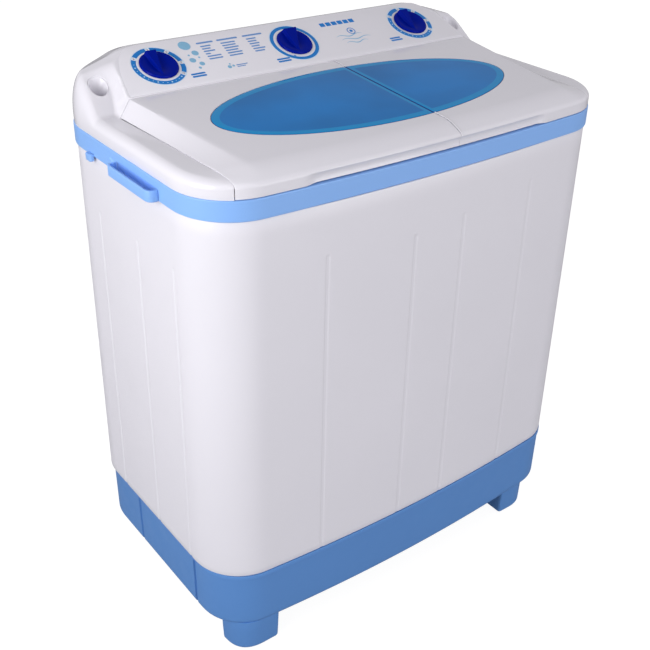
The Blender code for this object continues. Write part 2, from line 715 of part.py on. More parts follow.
def make_twin_tub(mat):
    plate = prism(band_outline(0.0125), *RIM_Z)
    tub = make_object("twin_tub", plate, mat)
    fuse(tub, wash_cup(0.0028, WASH_FLOOR_Z - 0.003, RIM_Z[1] - 0.001))
    spin_out = [(SPIN_TUB_RADIUS - 0.006, SPIN_FLOOR_Z - 0.003),
                (SPIN_TUB_RADIUS + 0.0028, SPIN_FLOOR_Z + 0.010),
                (SPIN_TUB_RADIUS + 0.0028, RIM_Z[1] - 0.001)]
    fuse(tub, turned(spin_out, 32, SPIN_AXIS))
    cut(tub, wash_cup(0.0, WASH_FLOOR_Z, RIM_Z[1] + 0.010))
    spin_in = [(SPIN_TUB_RADIUS - 0.007, SPIN_FLOOR_Z), (SPIN_TUB_RADIUS, SPIN_FLOOR_Z + 0.010),
               (SPIN_TUB_RADIUS, RIM_Z[1] + 0.010)]
    cut(tub, turned(spin_in, 32, SPIN_AXIS))
    cut(tub, turned([(0.0150, 0.300), (0.0150, 0.340)], 12, WASH_AXIS))
    cut(tub, turned([(0.0150, 0.300), (0.0150, 0.345)], 12, SPIN_AXIS))
    cut(tub, turned([(0.0110, 0.300), (0.0110, 0.340)], 10, DRAIN_AXIS))


def make_lint_filter(mat):
    """Overflow and lint cover that slides up out of its rails on the back wall of the wash tub."""
    x = WASH_AXIS[0] - 0.085
    y = WASH_AXIS[1] + WASH_TUB_HALF[1] - 0.024
    bm = box((x - 0.032, y - 0.004, 0.440), (x + 0.032, y + 0.010, 0.700))
    lint = make_object("lint_filter", bm, mat)
    for i in range(8):
        z = 0.465 + 0.026 * i
        cut(lint, box((x - 0.024, y - 0.010, z), (x + 0.024, y + 0.020, z + 0.010)))


def make_pulsator(mat):
    """Ribbed disc low in the wash tub; turns on the tub's upright axis."""
    origin = (*WASH_AXIS, 0.0)
    low = WASH_FLOOR_Z + 0.006
    profile = [(0.020, low), (0.138, low), (0.140, low + 0.004), (0.110, low + 0.010), (0.030, low + 0.020),
               (0.014, low + 0.026)]
    disc = make_object("pulsator", turned(profile, 28), mat, origin)
    for i in range(4):
        angle = math.pi / 2 * i
        rib = loft([[(0.012, -0.006, low + 0.010), (0.012, 0.006, low + 0.010), (0.128, 0.004, low + 0.004),
                     (0.128, -0.004, low + 0.004)],
                    [(0.014, -0.003, low + 0.036), (0.014, 0.003, low + 0.036), (0.122, 0.002, low + 0.018),
                     (0.122, -0.002, low + 0.018)]])
        bmesh.ops.rotate(rib, verts=rib.verts, matrix=Matrix.Rotation(angle, 3, "Z"))
        fuse(disc, rib)
    cut(disc, turned([(0.0068, 0.300), (0.0068, low + 0.018)], 12))


# ---- wash drive --------------------------------------------------------------------------
SHAFT = 0.0060
BORE = 0.0067


def make_pulsator_shaft(mat):
    profile = [(SHAFT, BELT_Z - 0.006), (SHAFT, WASH_FLOOR_Z + 0.0235)]
    make_object("pulsator_shaft", turned(profile, 12), mat, (*WASH_AXIS, 0.0))


def make_bearing_housing(mat):
    top = WASH_FLOOR_Z - 0.003 - GAP
    profile = [(0.026, 0.2500), (0.034, 0.2540), (0.034, top - 0.010), (0.062, top - 0.006), (0.062, top),
               (BORE, top), (BORE, 0.2500)]
    make_object("wash_bearing_housing", turned(profile, 16, closed=True), mat, (*WASH_AXIS, 0.0))


def pulley(radius, bore):
    """Flat grooved pulley about z, with flanges above and below the belt."""
    lip = 0.003
    half = 0.0065
    edge = half + 0.002
    profile = [(radius - 0.001, -edge), (radius + lip, -edge), (radius + lip, -half), (radius, -half),
               (radius, half), (radius + lip, half), (radius + lip, edge), (radius - 0.001, edge)]
    if bore:
        profile += [(bore, edge), (bore, -edge)]
    return profile


def make_pulleys(mat):
    web = make_object("wash_pulley", turned(pulley(WASH_PULLEY_RADIUS, BORE), 24, closed=True), mat,
                      (*WASH_AXIS, BELT_Z))
    for i in range(4):
        angle = math.pi / 2 * (i + 0.5)
        center = (0.048 * math.cos(angle), 0.048 * math.sin(angle))
        cut(web, turned([(0.020, -0.020), (0.020, 0.020)], 8, center))
    profile = pulley(MOTOR_PULLEY_RADIUS, None) + [(SHAFT, 0.0085), (SHAFT, 0.060)]
    make_object("motor_pulley", turned(profile, 16), mat, (*MOTOR_AXIS, BELT_Z))


def belt_outline(extra):
    """Loop of two arcs about the pulley axes and the straight runs between them."""
    big = Vector(WASH_AXIS)
    small = Vector(MOTOR_AXIS)
    reach = small - big
    heading = math.atan2(reach.y, reach.x)
    wrap = math.acos((WASH_PULLEY_RADIUS - MOTOR_PULLEY_RADIUS) / reach.length)
    points = []
    for center, radius, start, stop, steps in (
            (big, WASH_PULLEY_RADIUS, heading + wrap, heading + 2 * math.pi - wrap, 24),
            (small, MOTOR_PULLEY_RADIUS, heading - wrap, heading + wrap, 10)):
        for i in range(steps + 1):
            angle = start + (stop - start) * i / steps
            offset = Vector((math.cos(angle), math.sin(angle))) * (radius + extra)
            points.append((center.x + offset.x, center.y + offset.y))
    return points


def make_belt(mat):
    inner = belt_outline(0.0011)
    outer = belt_outline(0.0011 + BELT_THICKNESS)
    low, high = BELT_Z - 0.005, BELT_Z + 0.005
    rings = [at_height(outer, low), at_height(outer, high), at_height(inner, high), at_height(inner, low)]
    make_object("drive_belt", loft(rings, closed=True), mat)


def make_wash_motor(mat):
    """Motor body, open below, with the shaft's bearing in its thick upper end."""
    low, high = 0.152, 0.2460
    inner = high - 0.022
    profile = [(0.036, low), (0.047, low), (0.050, low + 0.010), (0.050, high - 0.012), (0.046, high),
               (BORE, high), (BORE, inner), (0.036, inner)]
    make_object("wash_motor", turned(profile, 20, closed=True), mat, (*MOTOR_AXIS, 0.0))


def make_motor_bracket(mat):
    """Steel plate hung under the bearing housing that carries the wash motor."""
    big = Vector(WASH_AXIS)
    small = Vector(MOTOR_AXIS)
    heading = math.atan2(small.y - big.y, small.x - big.x)
    points = []
    for center, start in ((big, heading + math.pi / 2), (small, heading - math.pi / 2)):
        for i in range(7):
            angle = start + math.pi * i / 6
            points.append((center.x + 0.045 * math.cos(angle), center.y + 0.045 * math.sin(angle)))
    plate = make_object("motor_bracket", prism(points, 0.2463, 0.2497), mat)
    cut(plate, turned([(0.020, 0.240), (0.020, 0.255)], 12, WASH_AXIS))


# ---- spin drive --------------------------------------------------------------------------
SPRING_Z = (0.0605, 0.0950)
SPIN_MOTOR_Z = (0.0953, 0.2000)
SPRING_REACH = 0.052


def make_spin_motor(mat):
    """Motor body on a foot ring, open below, with the shaft's bearing in its thick upper end."""
    low, high = SPIN_MOTOR_Z
    inner = high - 0.026
    profile = [(0.045, low), (0.066, low), (0.066, low + 0.004), (0.058, low + 0.006), (0.058, high - 0.014),
               (0.050, high), (BORE, high), (BORE, inner), (0.045, inner)]
    make_object("spin_motor", turned(profile, 24, closed=True), mat, (*SPIN_AXIS, 0.0))


def make_springs(mat):
    turns, steps = 3.5, 9
    wire = 0.0016
    radius = 0.0095
    low, high = SPRING_Z
    count = int(turns * steps)
    rise = (high - low - 2 * wire) / count
    path = []
    for i in range(count + 1):
        angle = 2 * math.pi * i / steps
        path.append((radius * math.cos(angle), radius * math.sin(angle), low + wire + rise * i))
    names = ("suspension_spring_1", "suspension_spring_2", "suspension_spring_3")
    places = []
    for i in range(3):
        angle = math.radians(90 + 120 * i)
        x = SPIN_AXIS[0] + SPRING_REACH * math.cos(angle)
        y = SPIN_AXIS[1] + SPRING_REACH * math.sin(angle)
        places.append((x, y, 0))
    first = make_object(names[0], pipe(path, wire, 6), mat, places[0])
    for name, place in zip(names[1:], places[1:]):
        link_object(name, first.data, place)


def make_spin_shaft(mat):
    profile = [(SHAFT, 0.130), (SHAFT, 0.216), (SHAFT, BASKET_Z[0] + 0.014)]
    make_object("spin_shaft", turned(profile, 12), mat, (*SPIN_AXIS, 0.0))


def make_brake_drum(mat):
    profile = [(0.040, 0.212), (0.040, 0.236), (0.022, 0.238), (0.018, 0.262), (BORE, 0.262), (BORE, 0.212)]
    make_object("brake_drum", turned(profile, 24, closed=True), mat, (*SPIN_AXIS, 0.0))


BRAKE_PIVOT = (SPIN_AXIS[0] + 0.050, SPIN_AXIS[1] - 0.050)


def make_brake_lever(mat):
    """Shoe lever beside the drum, turning on an upright pivot."""
    points = [(-0.008, -0.008), (0.012, -0.008), (0.012, 0.010), (0.002, 0.052), (0.004, 0.080),
              (-0.004, 0.082), (-0.005, 0.050)]
    lever = make_object("brake_lever", prism(points, 0.220, 0.228), mat, (*BRAKE_PIVOT, 0.0))
    cut(lever, turned([(0.0033, 0.210), (0.0033, 0.240)], 10))


def make_shaft_seal(mat):
    top = SPIN_FLOOR_Z - 0.003 - GAP
    profile = [(0.014, 0.275), (0.022, 0.281), (0.018, 0.288), (0.027, 0.295), (0.022, 0.304), (0.036, 0.316),
               (0.036, top), (BORE, top), (BORE, 0.275)]
    make_object("shaft_seal", turned(profile, 18, closed=True), mat, (*SPIN_AXIS, 0.0))


def make_basket(mat):
    """Perforated drum; z runs along its spin axis."""
    low, high = BASKET_Z
    radius = BASKET_RADIUS
    wall = 0.0020
    profile = [(radius - 0.010, low), (radius, low + 0.008), (radius, high - 0.014),
               (radius + 0.004, high - 0.010), (radius + 0.004, high), (radius - 0.008, high),
               (radius - 0.008, high - 0.006), (radius - wall, high - 0.016), (radius - wall, low + 0.012),
               (radius - 0.014, low + 0.004), (0.022, low + 0.004), (0.018, low + 0.022),
               (0.008, low + 0.024)]
    basket = make_object("spin_basket", turned(profile, 28), mat, (*SPIN_AXIS, 0.0))
    for row in range(3):
        for i in range(3):
            angle = math.pi / 3 * (i + row % 2 * 0.5 + 0.25)
            reach = Vector((math.cos(angle), math.sin(angle), 0)) * (radius + 0.02)
            center = Vector((0, 0, low + 0.080 + 0.080 * row))
            cut(basket, rod(center - reach, center + reach, 0.0035, 6))
    cut(basket, turned([(BORE, low - 0.010), (BORE, low + 0.0145)], 12))


def make_basket_cover(mat):
    """Loose perforated lid that keeps the laundry down in the basket."""
    low = BASKET_Z[1] - 0.030
    profile = [(0.112, low), (0.114, low + 0.003), (0.112, low + 0.005), (0.020, low + 0.005),
               (0.012, low + 0.016), (0.004, low + 0.018)]
    cover = make_object("basket_cover", turned(profile, 28), mat, (*SPIN_AXIS, 0.0))
    for i in range(8):
        angle = math.pi / 4 * i
        center = (0.070 * math.cos(angle), 0.070 * math.sin(angle))
        cut(cover, turned([(0.014, low - 0.010), (0.014, low + 0.020)], 8, center))


# ---- water and wiring --------------------------------------------------------------------
CORD_X = 0.190
CORD_Z = 0.420
CORD_RADIUS = 0.0035
VALVE_TOP = WASH_FLOOR_Z - 0.003 - GAP


def make_drain_valve(mat):
    profile = [(0.020, 0.262), (0.020, VALVE_TOP), (DRAIN_RADIUS, VALVE_TOP), (DRAIN_RADIUS, 0.2700),
               (0.0045, 0.2700), (0.0045, 0.262)]
    body = make_object("drain_valve_body", turned(profile, 16, closed=True), mat, (*DRAIN_AXIS, 0.0))
    fuse(body, rod((0, 0.014, 0.285), (0, 0.034, 0.285), 0.011, 12))
    cut(body, rod((0, 0.005, 0.285), (0, 0.040, 0.285), 0.008, 12))
    cut(body, turned([(DRAIN_RADIUS, 0.2700), (DRAIN_RADIUS, VALVE_TOP + 0.001)], 16))


def make_drain_plunger(mat):
    """Rubber stopper that lifts off the drain hole's seat when the cable pulls its stem."""
    profile = [(0.0035, 0.250), (0.0035, 0.298), (0.0135, 0.300), (0.0135, 0.3075), (0.010, 0.310)]
    make_object("drain_plunger", turned(profile, 14), mat, (*DRAIN_AXIS, 0.0))


def make_drain_hose(mat):
    x = DRAIN_AXIS[0]
    y = DRAIN_AXIS[1] + 0.034 + GAP
    path = bend([(x, y, 0.285), (x, 0.150, 0.285), (x, 0.150, 0.0560)], 0.018)
    make_object("drain_hose", pipe(path, 0.0095, 12, inner=0.0078), mat)


def make_capacitor(mat):
    bm = turned([(0.018, 0.0610), (0.018, 0.112), (0.014, 0.116)], 14)
    make_object("run_capacitor", bm, mat, (0.020, -0.130, 0.0))


def make_cord(mat, plug_mat):
    """Supply cord out of the rear cover, hanging down the back to its plug."""
    outside = REAR_Y + GAP + WALL + GAP + CORD_RADIUS + 0.0040
    path = bend([(CORD_X, 0.190, CORD_Z), (CORD_X, outside, CORD_Z), (CORD_X, outside, 0.235)], 0.008)
    make_object("power_cord", pipe(path, CORD_RADIUS, 10), mat)
    rear = HALF_DEPTH + FRONT_BULGE
    half = rear - outside
    rings = []
    for scale, z in ((0.8, 0.190), (1.0, 0.196), (1.0, 0.222), (0.6, 0.2347)):
        rings.append([(CORD_X + 0.016 * scale * math.cos(a), outside + half * scale * math.sin(a), z)
                      for a in [2 * math.pi * i / 12 for i in range(12)]])
    plug = make_object("power_plug", loft(rings), plug_mat)
    for side in (-1, 1):
        x = CORD_X + side * 0.0095
        fuse(plug, rod((x, outside, 0.172), (x, outside, 0.194), 0.0024, 8))


def make_lid_switch(body_mat, lever_mat):
    """Cut-out switch behind the spin lid; the lid's rear rail lets its lever rise through a slot."""
    y, z = SWITCH_PIVOT
    half = SWITCH_HALF_WIDTH
    body = box((SWITCH_X - 0.010, y + 0.0045, z - 0.014), (SWITCH_X + 0.010, y + 0.024, z + 0.003))
    make_object("lid_switch", body, body_mat)
    side = [(-0.0135, 0.0), (-0.0120, -0.0015), (0.0040, -0.0015), (0.0040, 0.0015), (-0.0120, 0.0015)]
    bm = loft([[(x, a, b) for a, b in side] for x in (-half, half)])
    make_object("lid_switch_lever", bm, lever_mat, (SWITCH_X, y, z))


def build():
    clear_scene()
    white = material("white_plastic", (0.80, 0.79, 0.82), 0.28)
    blue = material("blue_plastic", (0.22, 0.42, 0.78), 0.35)
    base_blue = material("base_blue_plastic", (0.15, 0.29, 0.55), 0.40)
    dial_blue = material("dial_blue_plastic", (0.01, 0.02, 0.24), 0.25)
    clear_blue = material("clear_blue_window", (0.02, 0.20, 0.45), 0.10, alpha=0.5)
    panel = material("panel_print", (0.82, 0.81, 0.84), 0.30)
    tub = material("tub_plastic", (0.72, 0.74, 0.78), 0.35)
    grey = material("grey_plastic", (0.35, 0.36, 0.38), 0.50)
    steel = material("steel", (0.55, 0.55, 0.56), 0.35, 1.0)
    zinc = material("zinc_plate", (0.48, 0.49, 0.50), 0.45, 1.0)
    black = material("black_rubber", (0.02, 0.02, 0.02), 0.70)
    motor = material("motor_paint", (0.10, 0.11, 0.12), 0.45)
    alloy = material("die_cast_alloy", (0.50, 0.51, 0.52), 0.45, 1.0)

    make_cabinet(white)
    make_rear_cover(white)
    make_cover_screws(zinc)
    make_base(base_blue)
    make_feet(base_blue)
    make_band(blue)
    make_deck(white)
    make_panel(panel)
    make_inlets(white)
    make_lid("wash_lid", -1, EAR_X[:2], white)
    make_lid("spin_lid", 1, EAR_X[2:], white)
    make_window("wash_lid_window", -1, clear_blue)
    make_window("spin_lid_window", 1, clear_blue)
    make_hinge_pins(steel)
    make_knobs(dial_blue)
    make_timers(grey)
    make_buzzer(black)
    make_twin_tub(tub)
    make_lint_filter(blue)
    make_pulsator(blue)
    make_pulsator_shaft(steel)
    make_bearing_housing(alloy)
    make_pulleys(alloy)
    make_belt(black)
    make_wash_motor(motor)
    make_motor_bracket(zinc)
    make_spin_motor(motor)
    make_springs(steel)
    make_spin_shaft(steel)
    make_brake_drum(alloy)
    make_brake_lever(zinc)
    make_shaft_seal(black)
    make_basket(tub)
    make_basket_cover(blue)
    make_drain_valve(grey)
    make_drain_plunger(black)
    make_drain_hose(grey)
    make_capacitor(zinc)
    make_cord(black, black)
    make_lid_switch(grey, grey)


build()
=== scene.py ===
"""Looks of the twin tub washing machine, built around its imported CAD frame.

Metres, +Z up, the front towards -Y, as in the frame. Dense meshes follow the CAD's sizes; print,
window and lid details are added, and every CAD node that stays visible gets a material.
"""
import json
import math

import bmesh
import bpy
import numpy as np
from mathutils import Matrix, Vector
from mathutils.kdtree import KDTree


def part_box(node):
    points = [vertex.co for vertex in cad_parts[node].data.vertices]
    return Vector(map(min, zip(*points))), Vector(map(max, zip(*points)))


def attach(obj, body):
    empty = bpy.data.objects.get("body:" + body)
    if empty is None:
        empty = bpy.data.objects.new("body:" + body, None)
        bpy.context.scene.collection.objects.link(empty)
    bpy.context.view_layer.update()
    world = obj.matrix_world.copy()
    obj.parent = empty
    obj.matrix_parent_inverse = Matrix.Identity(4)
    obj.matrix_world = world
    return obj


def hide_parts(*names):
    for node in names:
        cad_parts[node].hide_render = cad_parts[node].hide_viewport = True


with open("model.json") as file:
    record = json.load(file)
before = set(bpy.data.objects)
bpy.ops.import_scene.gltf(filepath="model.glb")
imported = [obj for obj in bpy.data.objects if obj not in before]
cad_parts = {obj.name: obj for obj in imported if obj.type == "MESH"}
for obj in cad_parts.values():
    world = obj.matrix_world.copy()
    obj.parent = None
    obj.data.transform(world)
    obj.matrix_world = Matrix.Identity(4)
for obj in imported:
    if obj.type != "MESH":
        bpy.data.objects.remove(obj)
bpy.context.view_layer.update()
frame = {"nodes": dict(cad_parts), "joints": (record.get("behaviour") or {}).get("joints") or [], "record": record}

JOINTS = {joint["name"]: joint for joint in frame["joints"]}

# ---- sizes, from the frame where it holds them ----
GAP = 0.0003
DECK_INSET = 0.0012
DECK_LOW, DECK_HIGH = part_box("top_deck")
BASE_LOW, BASE_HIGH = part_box("base_tray")
CABINET_LOW, CABINET_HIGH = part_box("cabinet")
HALF_WIDTH = DECK_HIGH.x + DECK_INSET
HALF_DEPTH = DECK_HIGH.y + DECK_INSET
FRONT_BULGE = -DECK_LOW.y - DECK_HIGH.y
CORNER_RADIUS = 0.089
BAND_Z = (CABINET_HIGH.z + GAP, DECK_LOW.z - GAP)
DECK_Z = DECK_LOW.z
DECK_FLOOR_Z = DECK_Z + 0.0035
LEDGE_Z = 0.8095

HINGE = Vector(JOINTS["wash_lid_hinge"]["pos_m"])
PLATEAU_SLOPE = 0.0689
HINGE_DROP = 0.0034
LID_BACK_Y = HINGE.y + 0.0040
LID_BOTTOM_Z = 0.7850
LID_THICKNESS = 0.0045
LID_SPLIT_X = 0.0361
SLOPE_FOOT_X = (0.3335, 0.3235)  # outer foot of the lids' end slopes, at the two EDGE_Y
SLOPE_CREST_X = (0.3175, 0.2870)
EDGE_Y = (0.0712, -0.1900)
WINDOW_CENTER_Y = -0.0639
WINDOW_HALF = (0.2611, 0.1059)
WINDOW_BORDER = 0.0130
WINDOW_SINK = 0.0023
WINDOW_CROWN = 0.0010

CONSOLE_Y = 0.0712  # front edge of the console
KNOB_JOINTS = ("wash_timer_turn", "selector_turn", "spin_timer_turn")
KNOB_PLACES = [Vector(JOINTS[name]["pos_m"]) for name in KNOB_JOINTS]
KNOB_RADIUS = 0.029
FACE_NORMAL = -Vector(JOINTS["wash_timer_turn"]["axis"]).normalized()
FACE_UP = Vector((0.0, FACE_NORMAL.z, -FACE_NORMAL.y))
FACE_TILT = math.atan2(FACE_UP.z, FACE_UP.y)
KNOB_UP_FACE = (KNOB_PLACES[0].y - CONSOLE_Y) / FACE_UP.y
CONSOLE_FOOT_Z = KNOB_PLACES[0].z - KNOB_UP_FACE * FACE_UP.z
PANEL_TOP = 0.1040  # upper edge of the fascia, measured up its slope
PANEL_RAISE = 0.0003

INLET = (0.3370, 0.1264)
INLET_RADIUS = 0.0145


# ---- outlines ----
class Outline:
    """Closed rounded rectangle with a bowed front, clockwise from the middle of the front."""

    STEP = 0.0005
    EASE = 12  # steps over which its kinks are eased

    def __init__(self, half_x, half_y, radius, bulge, shift_y=0.0):
        reach = half_x - radius
        side = half_y - radius
        front = np.linspace(0, reach, 60)
        left_front = np.stack([-front, -half_y - bulge * (1 - (front / reach) ** 2)], 1)
        pieces = [left_front]
        for sign_x, sign_y, start in ((-1, -1, 270), (-1, 1, 180), (1, 1, 90), (1, -1, 0)):
            angles = np.radians(np.linspace(start, start - 90, 60))
            arc = np.stack([np.cos(angles), np.sin(angles)], 1) * radius
            pieces.append(arc + (sign_x * reach, sign_y * side))
        pieces.append(left_front[::-1] * (-1, 1))
        raw = np.concatenate(pieces)
        raw = raw[np.r_[True, np.linalg.norm(np.diff(raw, axis=0), axis=1) > 1e-7]]
        walked = np.r_[0, np.cumsum(np.linalg.norm(np.diff(raw, axis=0), axis=1))]
        count = int(walked[-1] / self.STEP)
        even = np.linspace(0, walked[-1], count, endpoint=False)
        points = np.stack([np.interp(even, walked, raw[:, i]) for i in (0, 1)], 1)
        weights = np.exp(-0.5 * (np.arange(-3 * self.EASE, 3 * self.EASE + 1) / self.EASE) ** 2)
        weights /= weights.sum()
        padded = np.concatenate([points[-3 * self.EASE:], points, points[:3 * self.EASE]])
        points = np.stack([np.convolve(padded[:, i], weights, "valid") for i in (0, 1)], 1)
        self.points = points + (0.0, shift_y)
        ahead = np.roll(self.points, -1, 0) - np.roll(self.points, 1, 0)
        ahead /= np.linalg.norm(ahead, axis=1)[:, None]
        self.normals = np.stack([-ahead[:, 1], ahead[:, 0]], 1)
        self.length = count * self.STEP

    def at(self, walked, inset=0.0):
        """Points at the given distances along the outline, moved inwards."""
        index = np.asarray(walked) / self.STEP
        keys = np.arange(len(self.points) + 1)
        moved = self.points - self.normals * inset
        moved = np.concatenate([moved, moved[:1]])
        return np.stack([np.interp(index, keys, moved[:, i]) for i in (0, 1)], 1)

    def normal_at(self, walked):
        index = np.round(np.asarray(walked) / self.STEP).astype(int) % len(self.points)
        return self.normals[index]

    def ring(self, walked, depth, z):
        """Points at one height, moved inwards by one depth or by one for each point."""
        return ring_at(self.at(walked) - self.normal_at(walked) * np.reshape(depth, (-1, 1)), z)

    def find(self, x, y):
        """Distance along the outline to its point nearest to (x, y)."""
        return np.argmin(np.hypot(self.points[:, 0] - x, self.points[:, 1] - y)) * self.STEP

    def columns(self, spacing, dense=(), dense_half=0.006, dense_count=21):
        """Distances around the outline, evenly spaced and denser about the given ones."""
        marks = [np.arange(0, self.length, spacing)]
        for center in dense:
            marks[0] = marks[0][np.abs(marks[0] - center) > dense_half]
            marks.append(np.linspace(center - dense_half, center + dense_half, dense_count))
        return np.sort(np.concatenate(marks))

    def front_y(self, x, inset):
        """Front side of the outline, moved inwards, at the given x."""
        quarter = int(0.30 * len(self.points))
        front = np.r_[quarter:0:-1, 0, -1:-quarter:-1]
        moved = (self.points - self.normals * inset)[front]
        return np.interp(x, moved[:, 0], moved[:, 1])


def band_line(inset=0.0):
    return Outline(HALF_WIDTH - inset, HALF_DEPTH - inset, CORNER_RADIUS - inset, FRONT_BULGE)


def eased_corner(corner, before, after, reach, steps):
    """Points of a quadratic curve round a corner, starting and ending reach away from it."""
    back = (before - corner).normalized() * reach
    on = (after - corner).normalized() * reach
    return [tuple(corner + back * (1 - t) ** 2 + on * t ** 2) for t in np.linspace(0, 1, steps + 1)]


def fillet(corners, radii, steps=8):
    """Closed loop of points through corners, each rounded by about its radius."""
    points = []
    corners = [Vector(corner) for corner in corners]
    for i, (corner, radius) in enumerate(zip(corners, radii)):
        points += eased_corner(corner, corners[i - 1], corners[(i + 1) % len(corners)], radius, steps)
    return points


def lerp_line(values, y):
    """Straight line in y through the two values given at EDGE_Y."""
    share = (y - EDGE_Y[0]) / (EDGE_Y[1] - EDGE_Y[0])
    return values[0] + (values[1] - values[0]) * share


def smooth_step(value, low, high):
    t = np.clip((value - low) / (high - low), 0.0, 1.0)
    return t * t * (3 - 2 * t)


def smooth_min(a, b, blend):
    h = np.clip(0.5 + 0.5 * (b - a) / blend, 0.0, 1.0)
    return b + (a - b) * h - blend * h * (1 - h)


def smooth_max(a, b, blend):
    return -smooth_min(-a, -b, blend)


# ---- mesh helpers ----
SHARP_ANGLE = 35  # edges bent by more degrees than this are shaded sharp


def skin(rows, wrap_columns=True, wrap_rows=False):
    """Points and quads of a grid whose rows hold equal numbers of points."""
    rows = np.asarray(rows, float)
    count, width = rows.shape[:2]
    ids = np.arange(count * width).reshape(count, width)
    below = ids if wrap_rows else ids[:-1]
    above = np.roll(ids, -1, 0) if wrap_rows else ids[1:]
    if wrap_columns:
        quads = (below, np.roll(below, -1, 1), np.roll(above, -1, 1), above)
    else:
        quads = (below[:, :-1], below[:, 1:], above[:, 1:], above[:, :-1])
    faces = np.stack(quads, -1).reshape(-1, 4)
    return rows.reshape(-1, 3), faces.tolist()


def capped(rows):
    """Closed solid from a stack of rings, its first and last ring filled."""
    points, faces = skin(rows)
    count, width = np.asarray(rows).shape[:2]
    faces.append(list(range(width)))
    faces.append(list(range((count - 1) * width, count * width)))
    return points, faces


def quarter_turn(radius, steps):
    """(inset, rise) pairs round an edge, from its level face to its upright face."""
    angles = np.linspace(0, np.pi / 2, steps)
    return [(radius * (1 - math.sin(a)), radius * (1 - math.cos(a))) for a in angles]


def rounded_wall(low, high, radius, between=()):
    """(inset, z) pairs up a wall whose lower and upper edges are rounded."""
    edge = quarter_turn(radius, 5)
    return ([(inset, low + rise) for inset, rise in edge] + [(0.0, z) for z in between]
            + [(inset, high - rise) for inset, rise in edge[::-1]])


def ring_at(points, z):
    points = np.asarray(points, float)
    return np.column_stack([points, np.full(len(points), z)])


def prism(points, low, high):
    return capped([ring_at(points, low), ring_at(points, high)])


def box(low, high):
    (x0, y0, z0), (x1, y1, z1) = low, high
    return prism([(x0, y0), (x1, y0), (x1, y1), (x0, y1)], z0, z1)


def circle(radius, steps, center=(0.0, 0.0)):
    angles = 2 * np.pi * np.arange(steps) / steps
    return np.stack([center[0] + radius * np.cos(angles), center[1] + radius * np.sin(angles)], 1)


def rings(profile, steps, center=(0.0, 0.0)):
    """Rings about an upright axis, one for each (radius, z)."""
    return [ring_at(circle(radius, steps, center), z) for radius, z in profile]


def shrunk(loop, levels):
    """Rings of a loop, each moved inwards by its (inset, z)."""
    loop = np.asarray(loop, float)
    center = (loop.min(0) + loop.max(0)) / 2
    half = (loop.max(0) - loop.min(0)) / 2
    return [ring_at(center + (loop - center) * (1 - inset / half), z) for inset, z in levels]


def round_over(profile, radius):
    """Profile with every corner rounded; the ends stay."""
    points = [Vector(p) for p in profile]
    rounded = [profile[0]]
    for before, corner, after in zip(points, points[1:], points[2:]):
        reach = min(radius, (before - corner).length / 2, (after - corner).length / 2)
        rounded += eased_corner(corner, before, after, reach, 4)
    return rounded + [profile[-1]]


def shade(mesh):
    mesh.shade_smooth()
    mesh.set_sharp_from_angle(angle=math.radians(SHARP_ANGLE))


def mesh_object(name, parts, mat):
    """One object from (points, faces) parts, welded where they meet."""
    points = []
    faces = []
    for part_points, part_faces in parts:
        start = len(points)
        points.extend(tuple(map(float, p)) for p in part_points)
        faces.extend([i + start for i in face] for face in part_faces)
    mesh = bpy.data.meshes.new(name)
    mesh.from_pydata(points, [], faces)
    bm = bmesh.new()
    bm.from_mesh(mesh)
    bmesh.ops.remove_doubles(bm, verts=bm.verts, dist=2e-6)
    bmesh.ops.recalc_face_normals(bm, faces=bm.faces)
    bm.to_mesh(mesh)
    bm.free()
    if mat:
        mesh.materials.append(mat)
    shade(mesh)
    obj = bpy.data.objects.new(name, mesh)
    bpy.context.scene.collection.objects.link(obj)
    return obj


def settle(obj):
    """Makes the modifiers' result the object's own mesh."""
    depsgraph = bpy.context.evaluated_depsgraph_get()
    mesh = bpy.data.meshes.new_from_object(obj.evaluated_get(depsgraph))
    obj.modifiers.clear()
    obj.data = mesh
    shade(mesh)


def cut(obj, part):
    tool = mesh_object(obj.name + "_tool", [part], None)
    modifier = obj.modifiers.new("cut", "BOOLEAN")
    modifier.operation = "DIFFERENCE"
    modifier.solver = "MANIFOLD"
    modifier.object = tool
    settle(obj)
    bpy.data.objects.remove(tool)


def soften_edges(obj, width, segments=2, degrees=40):
    modifier = obj.modifiers.new("edges", "BEVEL")
    modifier.width = width
    modifier.segments = segments
    modifier.limit_method = "ANGLE"
    modifier.angle_limit = math.radians(degrees)
    modifier.use_clamp_overlap = True
    settle(obj)


def thicken(obj, thickness):
    modifier = obj.modifiers.new("wall", "SOLIDIFY")
    modifier.thickness = thickness
    modifier.offset = -1.0
    settle(obj)


def place(obj, body, slot, *nodes):
    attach(obj, body)
    if nodes:
        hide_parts(*nodes)


# ---- shape of the moulded top ----
DECK_LINE = band_line(DECK_INSET)
DECK_TREE = KDTree(len(DECK_LINE.points))
for number, (px, py) in enumerate(DECK_LINE.points):
    DECK_TREE.insert((px, py, 0.0), number)
DECK_TREE.balance()

ROLL_SIDE = 0.0125  # reach of the rolled edge at the sides, front and rear
ROLL_FRONT = 0.040
ROLL_REAR = 0.016
SPRING_SIDE = 0.7965  # height at which the rolled edge becomes upright
SPRING_REAR = 0.812
SIDE_CREASE = 1.30  # over 1, the side roll meets the ledge in a crease
FRONT_EDGE_Z = 0.8030  # front edge, where the rounded top meets the upright wall
FRONT_EDGE_RADIUS = 0.0045


def plateau(y):
    return HINGE.z + HINGE_DROP + PLATEAU_SLOPE * (y - HINGE.y)


def face_height(y):
    return CONSOLE_FOOT_Z + (y - CONSOLE_Y) * math.tan(FACE_TILT)


